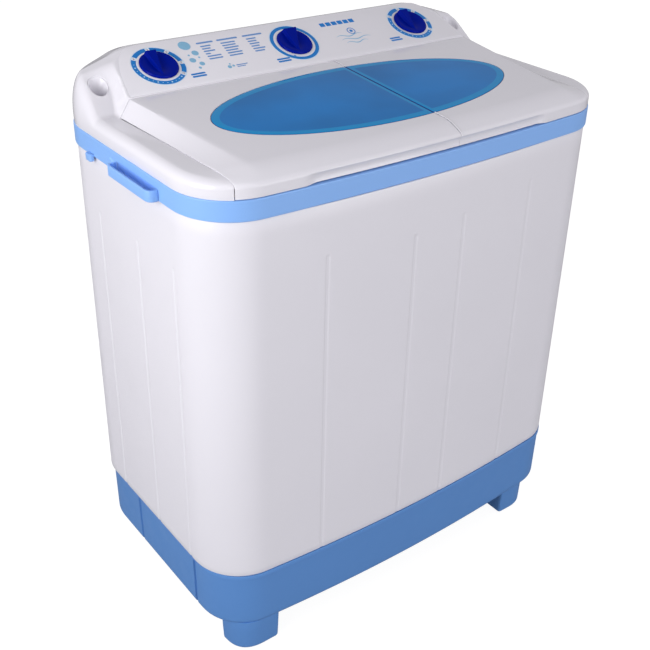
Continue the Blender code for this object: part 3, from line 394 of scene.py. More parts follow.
def lid_top(x, y):
    """Unrolled top of the lids: the flat plateau and the slope at each outer end."""
    foot = lerp_line(SLOPE_FOOT_X, y)
    crest = lerp_line(SLOPE_CREST_X, y)
    low = LEDGE_Z + 0.0006
    flat = plateau(y)
    slope = low + (flat - low) * (foot - np.abs(x)) / (foot - crest)
    return smooth_max(smooth_min(flat, slope, 0.0010), low + 0.0 * x, 0.0005)


SHOULDER_X = (0.0, 0.262, 0.280, 0.300, 0.3226, 0.3410, 0.3688)
SHOULDER_Z = (0.8797, 0.8797, 0.8760, 0.8680, 0.8608, 0.8548, 0.8480)
CREST_Y = 0.1655  # the console is highest here and falls behind it
BACK_SLOPE = 0.33
CORNER_EASE = 0.0045
RAMP_SLOPE = 0.77
RAMP_FOOT_Y = 0.0850
CAP_RECEDE = 2.28  # how far the foot of the console's end runs back, per metre outwards
CAP_EDGE = (0.3145, 0.8460)  # x and height that the steep fall passes through
CAP_FALL = 2.0  # slope of the steep fall, across
CAP_CLIMB = 2.2  # slope of the console's end, up from the lids' end slope
CAP_GENTLE_Y = (0.1100, 0.1500)  # where the steep fall gives way to the shoulder


def eased_line(x, places, values):
    """Straight pieces between the given points, with their corners eased."""
    return sum(np.interp(x + CORNER_EASE * k, places, values) for k in (-1, -0.5, 0, 0.5, 1)) / 5


def shoulder(x, y):
    """Crest of the console and its shoulders, with the fall behind it."""
    fall = BACK_SLOPE * np.clip(y - CREST_Y, 0.0, None)
    return eased_line(np.abs(x), SHOULDER_X, SHOULDER_Z) - fall


def end_cap(x, y):
    """Fall of the console towards its ends: steep beside the fascia's foot, gentle behind."""
    gentle = shoulder(x, y)
    across = np.abs(x)
    steep = CAP_EDGE[1] + CAP_FALL * (CAP_EDGE[0] - across)
    slope = LEDGE_Z + (plateau(CONSOLE_Y) - LEDGE_Z) * (SLOPE_FOOT_X[0] - across) / (
        SLOPE_FOOT_X[0] - SLOPE_CREST_X[0])
    foot_y = CONSOLE_Y + CAP_RECEDE * np.clip(across - SLOPE_CREST_X[0], 0.0, None)
    climb = smooth_max(slope + CAP_CLIMB * (y - foot_y), slope, 0.0020)
    steep = np.where(across > SLOPE_CREST_X[0], smooth_min(steep, climb, 0.0020), steep)
    return gentle + (np.minimum(steep, 0.90) - gentle) * (1 - smooth_step(y, *CAP_GENTLE_Y))


def terrace(x, y):
    """Surface beside the console: the ledge and the ramp up to the shoulder."""
    ramp = LEDGE_Z + RAMP_SLOPE * (y - RAMP_FOOT_Y)
    upper = smooth_min(ramp, shoulder(x, y), 0.010)
    return smooth_max(upper, LEDGE_Z + 0.0 * y, 0.0020)


def deck_top(x, y):
    """Unrolled top of the deck and console."""
    console = smooth_min(face_height(y), shoulder(0.0 * x, y), 0.0040)
    console = smooth_min(console, end_cap(x, y), 0.0022)
    behind = smooth_max(console, terrace(x, y), 0.0060)
    return np.where(y >= CONSOLE_Y - 1e-6, behind, LEDGE_Z)


def arch(distance, width):
    """Height share of a quarter ellipse, 0 at its springing and 1 from width on."""
    u = np.clip(1 - distance / width, 0.0, 1.0)
    return np.sqrt(1 - u * u)


def rolled(points, top):
    """Heights at points (n, 2) where the unrolled surface is top, with the outer edge rolled down."""
    distance = np.empty(len(points))
    normals = np.empty((len(points), 2))
    for i, (x, y) in enumerate(points):
        nearest = DECK_TREE.find((x, y, 0.0))[1]
        normal = DECK_LINE.normals[nearest]
        distance[i] = normal @ (DECK_LINE.points[nearest] - (x, y))
        normals[i] = normal
    distance = np.clip(distance, 0.0, 1.0)
    side = normals[:, 0] ** 2
    rear = np.where(normals[:, 1] > 0, 1 - side, 0.0)
    side_width = ROLL_SIDE + 0.12 * (top - LEDGE_Z)
    crease = 1 + (SIDE_CREASE - 1) * np.clip(1 - (top - LEDGE_Z) / 0.004, 0.0, 1.0)
    lift = np.minimum(arch(distance, crease * side_width) / arch(side_width, crease * side_width), 1.0)
    side_z = SPRING_SIDE + (top - SPRING_SIDE) * lift
    rear_z = SPRING_REAR + (top - SPRING_REAR) * arch(distance, ROLL_REAR)
    crown = np.clip(1 - distance / ROLL_FRONT, 0.0, 1.0) ** 2
    front_z = top - (top - FRONT_EDGE_Z) * crown
    front_z -= FRONT_EDGE_RADIUS * (1 - arch(distance, FRONT_EDGE_RADIUS))
    return side * side_z + rear * rear_z + (1 - side - rear) * front_z


# ---- deck ----
ROLL_ROWS = 13
LEDGE_ROWS = 8
CONSOLE_ROWS = 56
CORE_HALF_X = 0.250  # inner end of the strip around the console
CORE_BACK_Y = 0.165


def deck_columns():
    """Distances along the outline from one arm's end, round the back, to the other's; and how many
    steps the first arm takes."""
    line = DECK_LINE
    past = np.abs(line.points[:, 0]) - lerp_line(SLOPE_FOOT_X, line.points[:, 1])
    tip = np.argmax(past > 0.0006) * line.STEP
    back = line.find(-HALF_WIDTH, CONSOLE_Y)
    turn = CORNER_RADIUS * (1 - math.sqrt(0.5))
    corner = line.find(-HALF_WIDTH + turn, HALF_DEPTH - turn)
    marks = [np.linspace(tip, back, 90), np.linspace(back, corner, 41)[1:],
             np.linspace(corner, line.length - corner, 161)[1:]]
    marks.append(line.length - marks[1][::-1][1:])
    marks.append([line.length - back])
    marks.append(line.length - marks[0][::-1][1:])
    return np.concatenate(marks), len(marks[0]) - 1


def deck_strip():
    """Rows of points from the outer edge inwards, and the inner rows behind the lids only."""
    walked, arm = deck_columns()
    outer = DECK_LINE.at(walked)
    inward = -DECK_LINE.normal_at(walked)
    count = len(walked)
    behind = slice(arm, count - arm)
    inner = np.zeros((count, 2))
    side_y = np.linspace(CONSOLE_Y, CORE_BACK_Y, 41)
    rear_x = np.linspace(-CORE_HALF_X, CORE_HALF_X, 161)
    left = np.stack([np.full(41, -CORE_HALF_X), side_y], 1)
    rear = np.stack([rear_x[1:-1], np.full(159, CORE_BACK_Y)], 1)
    right = left[::-1] * (-1, 1)
    inner[behind] = np.concatenate([left, rear, right])
    foot = lerp_line(SLOPE_FOOT_X, outer[:, 1])
    lean = (SLOPE_FOOT_X[1] - SLOPE_FOOT_X[0]) / (EDGE_Y[1] - EDGE_Y[0])
    sign = np.sign(outer[:, 0])
    reach = (np.abs(outer[:, 0]) - foot) / (np.abs(inward[:, 0]) + lean * inward[:, 1])
    side = inward[:, 0] ** 2
    rear_share = np.where(inward[:, 1] < 0, 1 - side, 0)
    width = side * ROLL_SIDE + rear_share * ROLL_REAR + (1 - side - rear_share) * ROLL_FRONT
    arms = np.ones(count, bool)
    arms[behind] = False
    width = np.where(arms, np.minimum(width, 0.9 * reach), width)
    angles = np.linspace(0, np.pi / 2, ROLL_ROWS)
    rows = [outer + inward * (width * (1 - math.cos(a)))[:, None] for a in angles]
    start = rows[-1]
    ledge_end = np.where(arms[:, None], outer + inward * reach[:, None], 0.0)
    ledge_end[arms, 0] = sign[arms] * lerp_line(SLOPE_FOOT_X, ledge_end[arms, 1])
    share = (HALF_WIDTH - DECK_INSET - SLOPE_FOOT_X[0] - ROLL_SIDE) / (
        HALF_WIDTH - DECK_INSET - CORE_HALF_X - ROLL_SIDE)
    ledge_end[behind] = start[behind] + (inner[behind] - start[behind]) * share
    for k in range(1, LEDGE_ROWS + 1):
        rows.append(start + (ledge_end - start) * k / LEDGE_ROWS)
    deep = [ledge_end[behind] + (inner[behind] - ledge_end[behind]) * k / CONSOLE_ROWS
            for k in range(CONSOLE_ROWS + 1)]
    core = [[(x, y) for x in rear_x] for y in side_y]
    return rows, deep, core


def raise_grid(rows, top):
    """Adds rolled heights to rows of (x, y) points."""
    rows = np.asarray(rows)
    flat = rows.reshape(-1, 2)
    heights = rolled(flat, top(flat[:, 0], flat[:, 1]))
    return np.column_stack([flat, heights]).reshape(*rows.shape[:2], 3)


def drop_rims(obj, levels):
    """Extrudes each open edge loop straight down; levels(point) gives the heights it passes."""
    bm = bmesh.new()
    bm.from_mesh(obj.data)
    edges = [edge for edge in bm.edges if edge.is_boundary]
    for step in range(len(levels(Vector((0, 0, 0))))):
        made = bmesh.ops.extrude_edge_only(bm, edges=edges)["geom"]
        edges = [item for item in made if isinstance(item, bmesh.types.BMEdge)]
        for vert in {v for edge in edges for v in edge.verts}:
            vert.co.z = levels(vert.co)[step]
    bmesh.ops.recalc_face_normals(bm, faces=bm.faces)
    bm.to_mesh(obj.data)
    bm.free()


def is_outer(point):
    nearest, _, _ = DECK_TREE.find((point.x, point.y, 0.0))
    return math.hypot(nearest.x - point.x, nearest.y - point.y) < 0.0004


def make_deck(mat):
    rows, deep, core = deck_strip()
    parts = [skin(raise_grid(grid, deck_top), wrap_columns=False) for grid in (rows, deep, core)]
    deck = mesh_object("deck_moulding", parts, mat)
    drop_rims(deck, lambda p: [DECK_Z] if is_outer(p) else [DECK_FLOOR_Z])
    thicken(deck, 0.0025)
    soften_edges(deck, 0.0002)
    for side in (-1, 1):
        bore = rings([(INLET_RADIUS, 0.790), (INLET_RADIUS, 0.870)], 64, (side * INLET[0], INLET[1]))
        cut(deck, capped(bore))
    place(deck, "casing", "white_plastic", "top_deck")
    make_deck_floor(mat)


OPENINGS = ((-0.318, -0.188, 0.018, 0.050), (0.066, -0.190, 0.312, 0.050))


def make_deck_floor(mat):
    """Floor under the lids, with a rounded opening over each tub."""
    back = CONSOLE_Y + 0.010
    side = lerp_line(SLOPE_FOOT_X, back) + 0.004
    front_x = np.linspace(-0.318, 0.318, 40)
    edge = [(x, DECK_LINE.front_y(x, 0.0125)) for x in front_x]
    outline = edge + [(side, -0.120), (side, back), (-side, back), (-side, -0.120)]
    floor = mesh_object("deck_floor", [prism(outline, DECK_Z, DECK_FLOOR_Z + 0.0004)], mat)
    for x0, y0, x1, y1 in OPENINGS:
        hole = fillet([(x0, y0), (x1, y0), (x1, y1), (x0, y1)], [0.085] * 4, 14)
        cut(floor, prism(hole, DECK_Z - 0.01, DECK_FLOOR_Z + 0.01))
    soften_edges(floor, 0.0010, 3)
    place(floor, "casing", "white_plastic", "top_deck")


# ---- lids ----
SCOOP_HALF = 0.222  # finger recess along the lids' lower front edge
SCOOP_TOP_Z = 0.8005
SCOOP_DEPTH = 0.0034
SCOOP_RAISE = 0.0016
SEAM = 0.00014  # width of the seam between lids and deck
SPLIT_BEAD = 0.0038  # width of the bead on the spin lid's inner edge
SPLIT_BEAD_RISE = 0.0013


def lid_columns(side):
    slope = np.linspace(0, 1, 13)
    count = 70 if side < 0 else 50
    return np.concatenate([slope, np.linspace(1, 1.98, count)[1:], np.linspace(1.984, 2, 11)])


def lid_x(side, share, y):
    """x of a column: 0 at the foot of the slope, 1 at its crest, 2 at the split."""
    foot = lerp_line(SLOPE_FOOT_X, y) - SEAM
    crest = lerp_line(SLOPE_CREST_X, y)
    split = LID_SPLIT_X + side * GAP
    outer = side * (foot + (crest - foot) * share)
    inner = side * crest + (split - side * crest) * (share - 1)
    return np.where(share <= 1, outer, inner)


def lid_rows(side):
    share = lid_columns(side)
    rows = []
    x = lid_x(side, share, -0.19)
    roll_start = DECK_LINE.front_y(x, ROLL_FRONT)
    for t in np.linspace(0, 1, 46)[:-1]:
        y = LID_BACK_Y + (roll_start - LID_BACK_Y) * t
        rows.append(np.stack([lid_x(side, share, y), y], 1))
    for angle in np.linspace(np.pi / 2, 0, 26):
        inset = ROLL_FRONT * (1 - math.cos(angle))
        y = DECK_LINE.front_y(x, inset)
        for _ in range(3):
            y = DECK_LINE.front_y(lid_x(side, share, y), inset)
        rows.append(np.stack([lid_x(side, share, y), y], 1))
    grid = raise_grid(rows, lid_top)
    if side > 0:
        across = np.clip((grid[:, :, 0] - LID_SPLIT_X - GAP) / SPLIT_BEAD, 0.0, 1.0)
        grid[:, :, 2] += SPLIT_BEAD_RISE * np.sin(np.pi * (0.25 + 0.75 * across)) * (across < 1)
    edge = grid[-1]
    scoop = 1 - smooth_step(np.abs(edge[:, 0] + 0.006), SCOOP_HALF - 0.022, SCOOP_HALF)
    bottom = LID_BOTTOM_Z + SCOOP_RAISE * scoop
    skirt = []
    for t in np.linspace(0, 1, 11)[1:]:
        row = edge.copy()
        row[:, 2] = edge[:, 2] + (bottom - edge[:, 2]) * t
        skirt.append(row)
    grid = np.concatenate([grid, skirt])
    depth = np.clip((SCOOP_TOP_Z - grid[:, :, 2]) / (SCOOP_TOP_Z - LID_BOTTOM_Z), 0, 1)
    hollow = np.sin(0.82 * np.pi * depth ** 0.8)
    grid[:, :, 1] += SCOOP_DEPTH * scoop[None, :] * hollow
    return grid


def window_loop(side, border, split_border):
    """Part of the window ellipse on one side of the split, as a closed loop."""
    half_x = WINDOW_HALF[0] - border
    half_y = WINDOW_HALF[1] - border
    split = LID_SPLIT_X + side * split_border
    meet = math.acos(split / half_x)
    low, high = (meet, 2 * math.pi - meet) if side < 0 else (-meet, meet)
    angles = np.linspace(low, high, 181)
    return np.stack([half_x * np.cos(angles), WINDOW_CENTER_Y + half_y * np.sin(angles)], 1)


def tilted_prism(points, bottom, top):
    """Upright prism whose ends lie parallel to the lids' plateau."""
    heights = plateau(points[:, 1])
    return capped([np.column_stack([points, heights + offset]) for offset in (bottom, top)])


def make_lid(name, side, mat):
    grid = lid_rows(side)
    lid = mesh_object(name + "_moulding", [skin(grid, wrap_columns=False)], mat)
    thicken(lid, LID_THICKNESS)
    soften_edges(lid, 0.00025, 2)
    cut(lid, tilted_prism(window_loop(side, -GAP, -0.010), -WINDOW_SINK, 0.020))
    cut(lid, tilted_prism(window_loop(side, WINDOW_BORDER, WINDOW_BORDER), -0.020, 0.020))
    place(lid, name, "white_plastic", name)


def make_window(name, side, body, mat):
    """Clear plate, crowned by a millimetre towards the middle of the whole ellipse."""
    outer = window_loop(side, 0.0004, 0.0006)
    middle = np.array((0.0 if side < 0 else 0.13, WINDOW_CENTER_Y))
    rows = []
    for share in np.linspace(1.0, 0.04, 22):
        points = middle + (outer - middle) * share
        crown = 1 - (((points - (0.0, WINDOW_CENTER_Y)) / WINDOW_HALF) ** 2).sum(1)
        rows.append(np.column_stack([points, plateau(points[:, 1]) + WINDOW_CROWN * np.clip(crown, 0, 1)]))
    upper, faces = skin(rows, wrap_columns=True)
    width = len(outer)
    faces.append(list(range((len(rows) - 1) * width, len(rows) * width)))
    plate = mesh_object(name + "_plate", [(upper, faces)], mat)
    thicken(plate, 0.0019)
    soften_edges(plate, 0.0006, 3)
    place(plate, body, "clear_blue_window", name)


# ---- hinges ----
PIN_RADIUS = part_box("wash_lid_pin")[1].z - HINGE.z
EAR_RADIUS = 0.0024
EAR_HALF = 0.003
PIN_OVERHANG = 0.0035  # of each hinge pin past the outer ear's middle
PIN_ENDS = {name: (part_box(name)[0].x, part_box(name)[1].x) for name in ("wash_lid_pin", "spin_lid_pin")}
EAR_X = [end + sign * PIN_OVERHANG for name in PIN_ENDS for end, sign in zip(PIN_ENDS[name], (1, -1))]
RAIL_HALF = 0.0042


def bored(outer, steps, low, high):
    """Bar along x between low and high with the hinge bore through it; outer is its (y, z) outline."""
    turn = np.linspace(0, 2 * np.pi, steps, endpoint=False) + np.arctan2(outer[0][1], outer[0][0])
    hole = np.stack([np.cos(turn), np.sin(turn)], 1) * (PIN_RADIUS + GAP)
    rows = []
    for loop, x in ((outer, low), (outer, high), (hole, high), (hole, low)):
        rows.append([(x, HINGE.y + y, HINGE.z + z) for y, z in loop])
    return skin(rows, wrap_rows=True)


def make_ears(mat):
    """Tongues on the deck that hold the hinge pins."""
    steps = 48
    arc = np.linspace(0, np.pi, steps // 2 + 1)
    head = np.stack([np.cos(arc), np.sin(arc)], 1) * EAR_RADIUS
    foot_z = DECK_FLOOR_Z - HINGE.z
    rest = steps - len(head)
    left = [(-EAR_RADIUS, foot_z * t) for t in np.linspace(0, 1, rest // 2 + 1)[1:]]
    right = [(EAR_RADIUS, foot_z * t) for t in np.linspace(1, 0, rest - rest // 2 + 1)[:-1]]
    outer = np.concatenate([head, left, right])
    for number, x in enumerate(EAR_X):
        ear = mesh_object(f"hinge_ear_{number + 1}", [bored(outer, steps, x - EAR_HALF, x + EAR_HALF)], mat)
        soften_edges(ear, 0.0004, 2, 50)
        place(ear, "casing", "white_plastic", "top_deck")


def make_rail(name, side, mat):
    """Rounded bar under the rear edge of a lid, in pieces between the hinge ears."""
    foot = lerp_line(SLOPE_CREST_X, HINGE.y) - 0.004
    ears = [x for x in EAR_X if (x - LID_SPLIT_X) * side > 0]
    ends = sorted((side * foot, LID_SPLIT_X + side * 0.0010))
    marks = [ends[0]]
    for x in sorted(ears):
        marks += [x - EAR_HALF - 0.0006, x + EAR_HALF + 0.0006]
    marks.append(ends[1])
    square = [(RAIL_HALF, RAIL_HALF - 0.0028), (-RAIL_HALF, RAIL_HALF - 0.0028), (-RAIL_HALF, -RAIL_HALF),
              (RAIL_HALF - 0.0010, -RAIL_HALF)]
    outer = np.array(fillet(square, [0.0008, 0.0008, 0.0030, 0.0030], 5))
    number = 0
    for low, high in zip(marks[::2], marks[1::2]):
        if high - low < 0.002:
            continue
        number += 1
        rail = mesh_object(f"{name}_rail_{number}", [bored(outer, len(outer), low, high)], mat)
        place(rail, name, "white_plastic", name)


# ---- band, cabinet, base, feet ----
GRIP_Y = (-0.100, 0.020)
GRIP_WALL = 0.0032
GRIP_END = 0.0035
GROOVE_DEPTH = 0.0007
GROOVE_ENDS = (0.680, 0.672, 0.682, 0.700, *[0.668] * 6)  # upper ends: front ones, then the sides'
BASE_GROOVE_DEPTH = 0.0036
FRONT_GROOVES = (-0.195, -0.040, 0.055, 0.200)
SIDE_GROOVES = (0.094, -0.022, -0.1225)
BASE_GROOVES = (0.059, -0.1225)


def rounded_block(loop, low, high, radius):
    """Upright block over a loop of points, rounded along its upper and lower edges."""
    return capped(shrunk(loop, rounded_wall(low, high, radius)))


def make_grip(side, mat):
    """Carrying grip: a rounded trough whose outer wall stands proud of the band."""
    low = BAND_Z[0]
    x0, x1 = HALF_WIDTH + GAP, HALF_WIDTH + 0.015
    y0, y1 = GRIP_Y
    outer = np.array(fillet([(x0, y0), (x1, y0), (x1, y1), (x0, y1)], [0.001, 0.013, 0.009, 0.001], 10))
    hollow = (x0 - 0.0040, x1 - GRIP_WALL, y0 + GRIP_END, y1 - GRIP_END)
    corners = [(hollow[0], hollow[2]), (hollow[1], hollow[2]), (hollow[1], hollow[3]), (hollow[0], hollow[3])]
    inner = np.array(fillet(corners, [0.001, 0.010, 0.006, 0.001], 10))
    grip = mesh_object(f"grip_{'right' if side > 0 else 'left'}",
                       [rounded_block(outer * (side, 1), low + 0.0002, low + 0.0160, 0.0013)], mat)
    cut(grip, rounded_block(inner * (side, 1), low + 0.0050, low + 0.030, 0.0030))
    soften_edges(grip, 0.0006, 2, 50)
    place(grip, "casing", "blue_plastic", "top_band")


def band_recess(line, columns, z):
    """Depth of the wedge pressed into the band behind each grip, higher towards the rear."""
    x, y = line.at(columns).T
    rise = z - BAND_Z[0]
    rear_end = GRIP_Y[1] + 0.006 + 1.1 * max(rise - 0.0050, 0.0)
    along = smooth_step(y, GRIP_Y[0] + 0.002, GRIP_Y[0] + 0.005)
    along *= 1 - smooth_step(y, rear_end - 0.003, rear_end)
    tall = smooth_step(rise, 0.0045, 0.0060) * (1 - smooth_step(rise, 0.0160, 0.0175))
    return 0.0022 * along * tall * (np.abs(x) > HALF_WIDTH - 0.004)


def make_band(mat):
    low, high = BAND_Z
    turn = 0.0014
    line = band_line()
    dense = [line.find(side * HALF_WIDTH, y) for side in (-1, 1) for y in np.linspace(-0.100, 0.050, 6)]
    columns = line.columns(0.004, dense, 0.016, 33)
    profile = rounded_wall(low, high, turn, np.linspace(low + turn, high - turn, 25)[1:-1])
    profile += [(0.013, high), (0.013, high - 0.0190), (0.024, high - 0.0190), (0.024, low)]
    rows = []
    for inset, z in profile:
        depth = inset + (band_recess(line, columns, z) if inset < 0.0010 else 0.0)
        rows.append(line.ring(columns, depth, z))
    band = mesh_object("band_ring", [skin(rows, wrap_rows=True)], mat)
    place(band, "casing", "blue_plastic", "top_band")
    for side in (-1, 1):
        make_grip(side, mat)
    make_hose_hook(mat)


def make_hose_hook(mat):
    """Small rounded eye below the band for the drain hose."""
    low = BAND_Z[0]
    x0, x1 = -HALF_WIDTH - 0.0068, -HALF_WIDTH - GAP
    loop = fillet([(x0, 0.0885), (x1, 0.0885), (x1, 0.1050), (x0, 0.1050)], [0.004, 0.0005, 0.0005, 0.004], 8)
    hook = mesh_object("hose_hook", [rounded_block(loop, low - 0.0066, low + 0.0040, 0.0012)], mat)
    middle = ((x0 + x1) / 2, 0.0990)
    cut(hook, capped(rings([(0.0017, low - 0.003), (0.0017, low + 0.010)], 20, middle)))
    place(hook, "casing", "blue_plastic", "top_band")


def groove_share(walked, center, half, ramp):
    return 1 - smooth_step(np.abs(walked - center), half - ramp, half)


def make_cabinet(mat):
    low, high = CABINET_LOW.z, CABINET_HIGH.z
    top = Outline(CABINET_HIGH.x - 0.0020, 0.2185, 0.0860, 0.0126)
    bottom = Outline(CABINET_HIGH.x, 0.2190, 0.0850, 0.0126)
    centers = [top.find(x, -0.3) for x in FRONT_GROOVES]
    centers += [top.find(-0.4, y) for y in SIDE_GROOVES] + [top.find(0.4, y) for y in SIDE_GROOVES]
    columns = top.columns(0.006, centers)
    heights = np.concatenate([[low, low + 0.0012], np.linspace(low + 0.01, 0.650, 10),
                              np.linspace(0.655, 0.712, 39), [0.730, high - 0.0012, high]])
    outer = []
    inner = []
    for z in heights:
        share = (z - low) / (high - low)
        ease = 0.0006 if z in (heights[0], heights[-1]) else 0.0
        depth = np.full(len(columns), ease)
        for center, end in zip(centers, GROOVE_ENDS):
            fade = 1 - smooth_step(z, end - 0.0025, end)
            depth += GROOVE_DEPTH * fade * groove_share(columns, center, 0.0042, 0.0024)
        stretch = columns / top.length * bottom.length
        skin_low = bottom.at(stretch) * (1 - share) + top.at(columns) * share
        normal = top.normal_at(columns)
        outer.append(ring_at(skin_low - normal * depth[:, None], z))
        inner.append(ring_at(skin_low - normal * (0.0028 + ease), z))
    cabinet = mesh_object("cabinet_shell", [skin(outer + inner[::-1], wrap_rows=True)], mat)
    door_low, door_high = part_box("rear_cover")
    lap = 0.014
    opening = box((door_low.x + lap, 0.200, door_low.z + lap), (door_high.x - lap, 0.240, door_high.z - lap))
    cut(cabinet, opening)
    place(cabinet, "casing", "white_plastic", "cabinet")


def make_base(mat):
    low, high = BASE_LOW.z, BASE_HIGH.z
    line = Outline(0.3655, 0.2181, 0.0822, 0.0122, -0.0028)
    centers = [line.find(x, y) for x in (-0.4, 0.4) for y in BASE_GROOVES]
    columns = line.columns(0.005, centers, 0.005, 31)
    turn = 0.0085
    bead = 0.0075
    profile = [(0.0016, high - 0.0004), (0.0004, high), (0.0, high - 0.0012), (0.0, high - bead),
               (0.0016, high - bead - 0.0010)]
    for z in np.linspace(high - bead - 0.004, low + turn, 14):
        profile.append((0.0016 + 0.0009 * (high - z) / (high - low), z))
    profile += [(0.0025 + inset, low + rise) for inset, rise in quarter_turn(turn, 9)[-2::-1]]
    rows = []
    for inset, z in profile:
        depth = np.full(len(columns), inset)
        fade = 1 - smooth_step(z, high - bead - 0.0012, high - bead - 0.0002)
        for center in centers:
            depth += BASE_GROOVE_DEPTH * fade * groove_share(columns, center, 0.0036, 0.0008)
        rows.append(line.ring(columns, depth, z))
    rows.append(ring_at(line.at(columns, 0.030), low))
    floor = [ring_at(line.at(columns, 0.030), low + 0.003), ring_at(line.at(columns, 0.014), low + 0.004),
             ring_at(line.at(columns, 0.0090), low + 0.012), ring_at(line.at(columns, 0.0080), high - 0.0004)]
    points, faces = skin(rows + floor, wrap_rows=True)
    width = len(columns)
    faces.append(list(range((len(rows) - 1) * width, len(rows) * width)))
    faces.append(list(range(len(rows) * width, (len(rows) + 1) * width)))
    faces = [face for face in faces if not joins_floor(face, len(rows), width)]
    base = mesh_object("base_moulding", [(points, faces)], mat)
    place(base, "casing", "base_blue_plastic", "base_tray")


def joins_floor(face, count, width):
    """True for the quads between the lower face and the floor above it, which stay apart."""
    rows = {i // width for i in face}
    return rows == {count - 1, count}


def make_foot(name, mat):
    """Block with one broad round corner, drawn in towards the floor."""
    low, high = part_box(name)
    outer_x, inner_x = (high.x, low.x) if low.x > 0 else (low.x, high.x)
    outer_y, inner_y = (high.y, low.y) if low.y > 0 else (low.y, high.y)
    corners = [(inner_x, outer_y), (inner_x, inner_y), (outer_x, inner_y), (outer_x, outer_y)]
    loop = fillet(corners, [0.006, 0.012, 0.006, 0.050], 14)
    draft = 0.0015
    levels = [(draft + inset, rise) for inset, rise in quarter_turn(0.006, 9)]
    levels += [(draft * (1 - z / high.z), z) for z in (0.025, 0.040, high.z + 0.0035)]
    foot = mesh_object(name + "_block", [capped(shrunk(loop, levels))], mat)
    place(foot, "casing", "base_blue_plastic", name)


# ---- console ----
def face_point(x, up, out=0.0):
    return Vector((x, CONSOLE_Y, CONSOLE_FOOT_Z)) + FACE_UP * up + FACE_NORMAL * out


def panel_half(up):
    """Half width of the fascia at one distance up its slope."""
    drop = (CONSOLE_FOOT_Z + up * FACE_UP.z - 0.815) / 0.0645
    return 0.25 + 0.0685 * np.cbrt(np.clip(1 - drop ** 2, 0.0, 1.0)) - 0.0022


def face_prism(points, low, high):
    """Closed plate whose outline is given as (x, up) on the fascia."""
    return capped([[face_point(x, up, out) for x, up in points] for out in (low, high)])


def make_panel(mat):
    ups = np.linspace(0.0016, PANEL_TOP - 0.0030, 40)
    points = [(panel_half(up), up) for up in ups]
    points += [(panel_half(PANEL_TOP) - 0.010, PANEL_TOP), (-panel_half(PANEL_TOP) + 0.010, PANEL_TOP)]
    points += [(-panel_half(up), up) for up in ups[::-1]]
    panel = mesh_object("fascia_plate", [face_prism(points, -0.0015, PANEL_RAISE)], mat)
    soften_edges(panel, 0.0005, 2, 50)
    place(panel, "casing", "panel_print", "console_panel")


# middle and half width of each grip's broad end, across the knob
GRIP_TOPS = {"wash_timer_knob": (-0.0025, 0.0075), "selector_knob": (0.0030, 0.0110),
             "spin_timer_knob": (-0.0020, 0.0080)}
GRIP_TIP_X = -0.0048
GRIP_TIP_HALF = 0.0006
GRIP_RISE = 0.0060  # of the broad end over the tip
KNOB_RIM = 0.0046  # height of the dial's rim over its base plane
KNOB_DISH = 0.0030
KNOB_SKIRT = ((-0.0020, 0.0007), (0.0, 0.0009), (0.0002, 0.0022))  # past the radius, and height


def knob_height(x, y, top_middle, top_half):
    """Dial surface over its base plane: a dished disc with a grip that widens and rises up the slope."""
    radius = np.hypot(x, y) / KNOB_RADIUS
    rim = KNOB_RIM - 0.0024 * smooth_step(radius, 0.93, 1.0)
    dish = rim - KNOB_DISH * (1 - smooth_step(radius, 0.15, 0.92))
    along = np.clip((y + 0.0225) / 0.0450, 0.0, 1.0)
    middle = GRIP_TIP_X + (top_middle - GRIP_TIP_X) * along
    half = GRIP_TIP_HALF + (top_half - GRIP_TIP_HALF) * along ** 1.3
    crest = KNOB_RIM + GRIP_RISE * along
    side = 1 - smooth_step(np.abs(x - middle), half, half + 0.0020 + 0.0010 * along)
    ends = smooth_step(y, -0.0262, -0.0205) * (1 - smooth_step(y, 0.0235, 0.0266))
    return dish + (crest - dish) * side * ends


def make_knob(name, middle, mat):
    """Dial whose base plane lies on the fascia about middle."""
    steps = 240
    rows = rings([(KNOB_RADIUS + wider, z) for wider, z in KNOB_SKIRT], steps)
    radii = np.concatenate([np.linspace(0.0004, 0.86, 60), np.linspace(0.87, 1.0, 14)]) * KNOB_RADIUS
    for radius in radii[::-1]:
        x, y = circle(radius, steps).T
        rows.append(np.stack([x, y, knob_height(x, y, *GRIP_TOPS[name])], 1))
    x, y, z = np.moveaxis(np.asarray(rows), -1, 0)[..., None]    # across, up the slope, out of it
    placed = np.array(middle) + x * (1.0, 0.0, 0.0) + y * np.array(FACE_UP) + z * np.array(FACE_NORMAL)
    knob = mesh_object(name + "_dial", [capped(placed)], mat)
    place(knob, name, "dial_blue_plastic", name)


# inset from the socket's outer wall, and how far below the deck's surface
INLET_RIM = ((0.0, 0.0010), (0.0003, 0.0005), (0.0009, 0.0004), (0.0014, 0.0009), (0.0017, 0.0018))


def make_inlet(name, mat):
    """Hose socket: a deep cup whose rim follows the ramp, with the bore's lip at its foot."""
    low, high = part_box(name)
    center = ((low.x + high.x) / 2, (low.y + high.y) / 2)
    outer = INLET_RADIUS - 0.0003
    steps = 64
    rows = rings([(0.0042, 0.7900), (outer, 0.7900)], steps, center)
    for inset, drop in INLET_RIM:
        ring = circle(outer - inset, steps, center)
        rows.append(np.column_stack([ring, rolled(ring, deck_top(ring[:, 0], ring[:, 1])) - drop]))
    cup = round_over([(outer - 0.0020, 0.8240), (0.0112, 0.8120), (0.0070, 0.8088), (0.0050, 0.8094),
                      (0.0042, 0.8078)], 0.0016)
    rows += rings(cup, steps, center)
    socket = mesh_object(name + "_socket", [skin(rows, wrap_rows=True)], mat)
    place(socket, "casing", "white_plastic", name)


# ---- print on the fascia ----
INK_LOW = PANEL_RAISE + 0.00002
INK_HIGH = PANEL_RAISE + 0.00016
RING_OUTER = 0.0401
RING_INNER = 0.0330


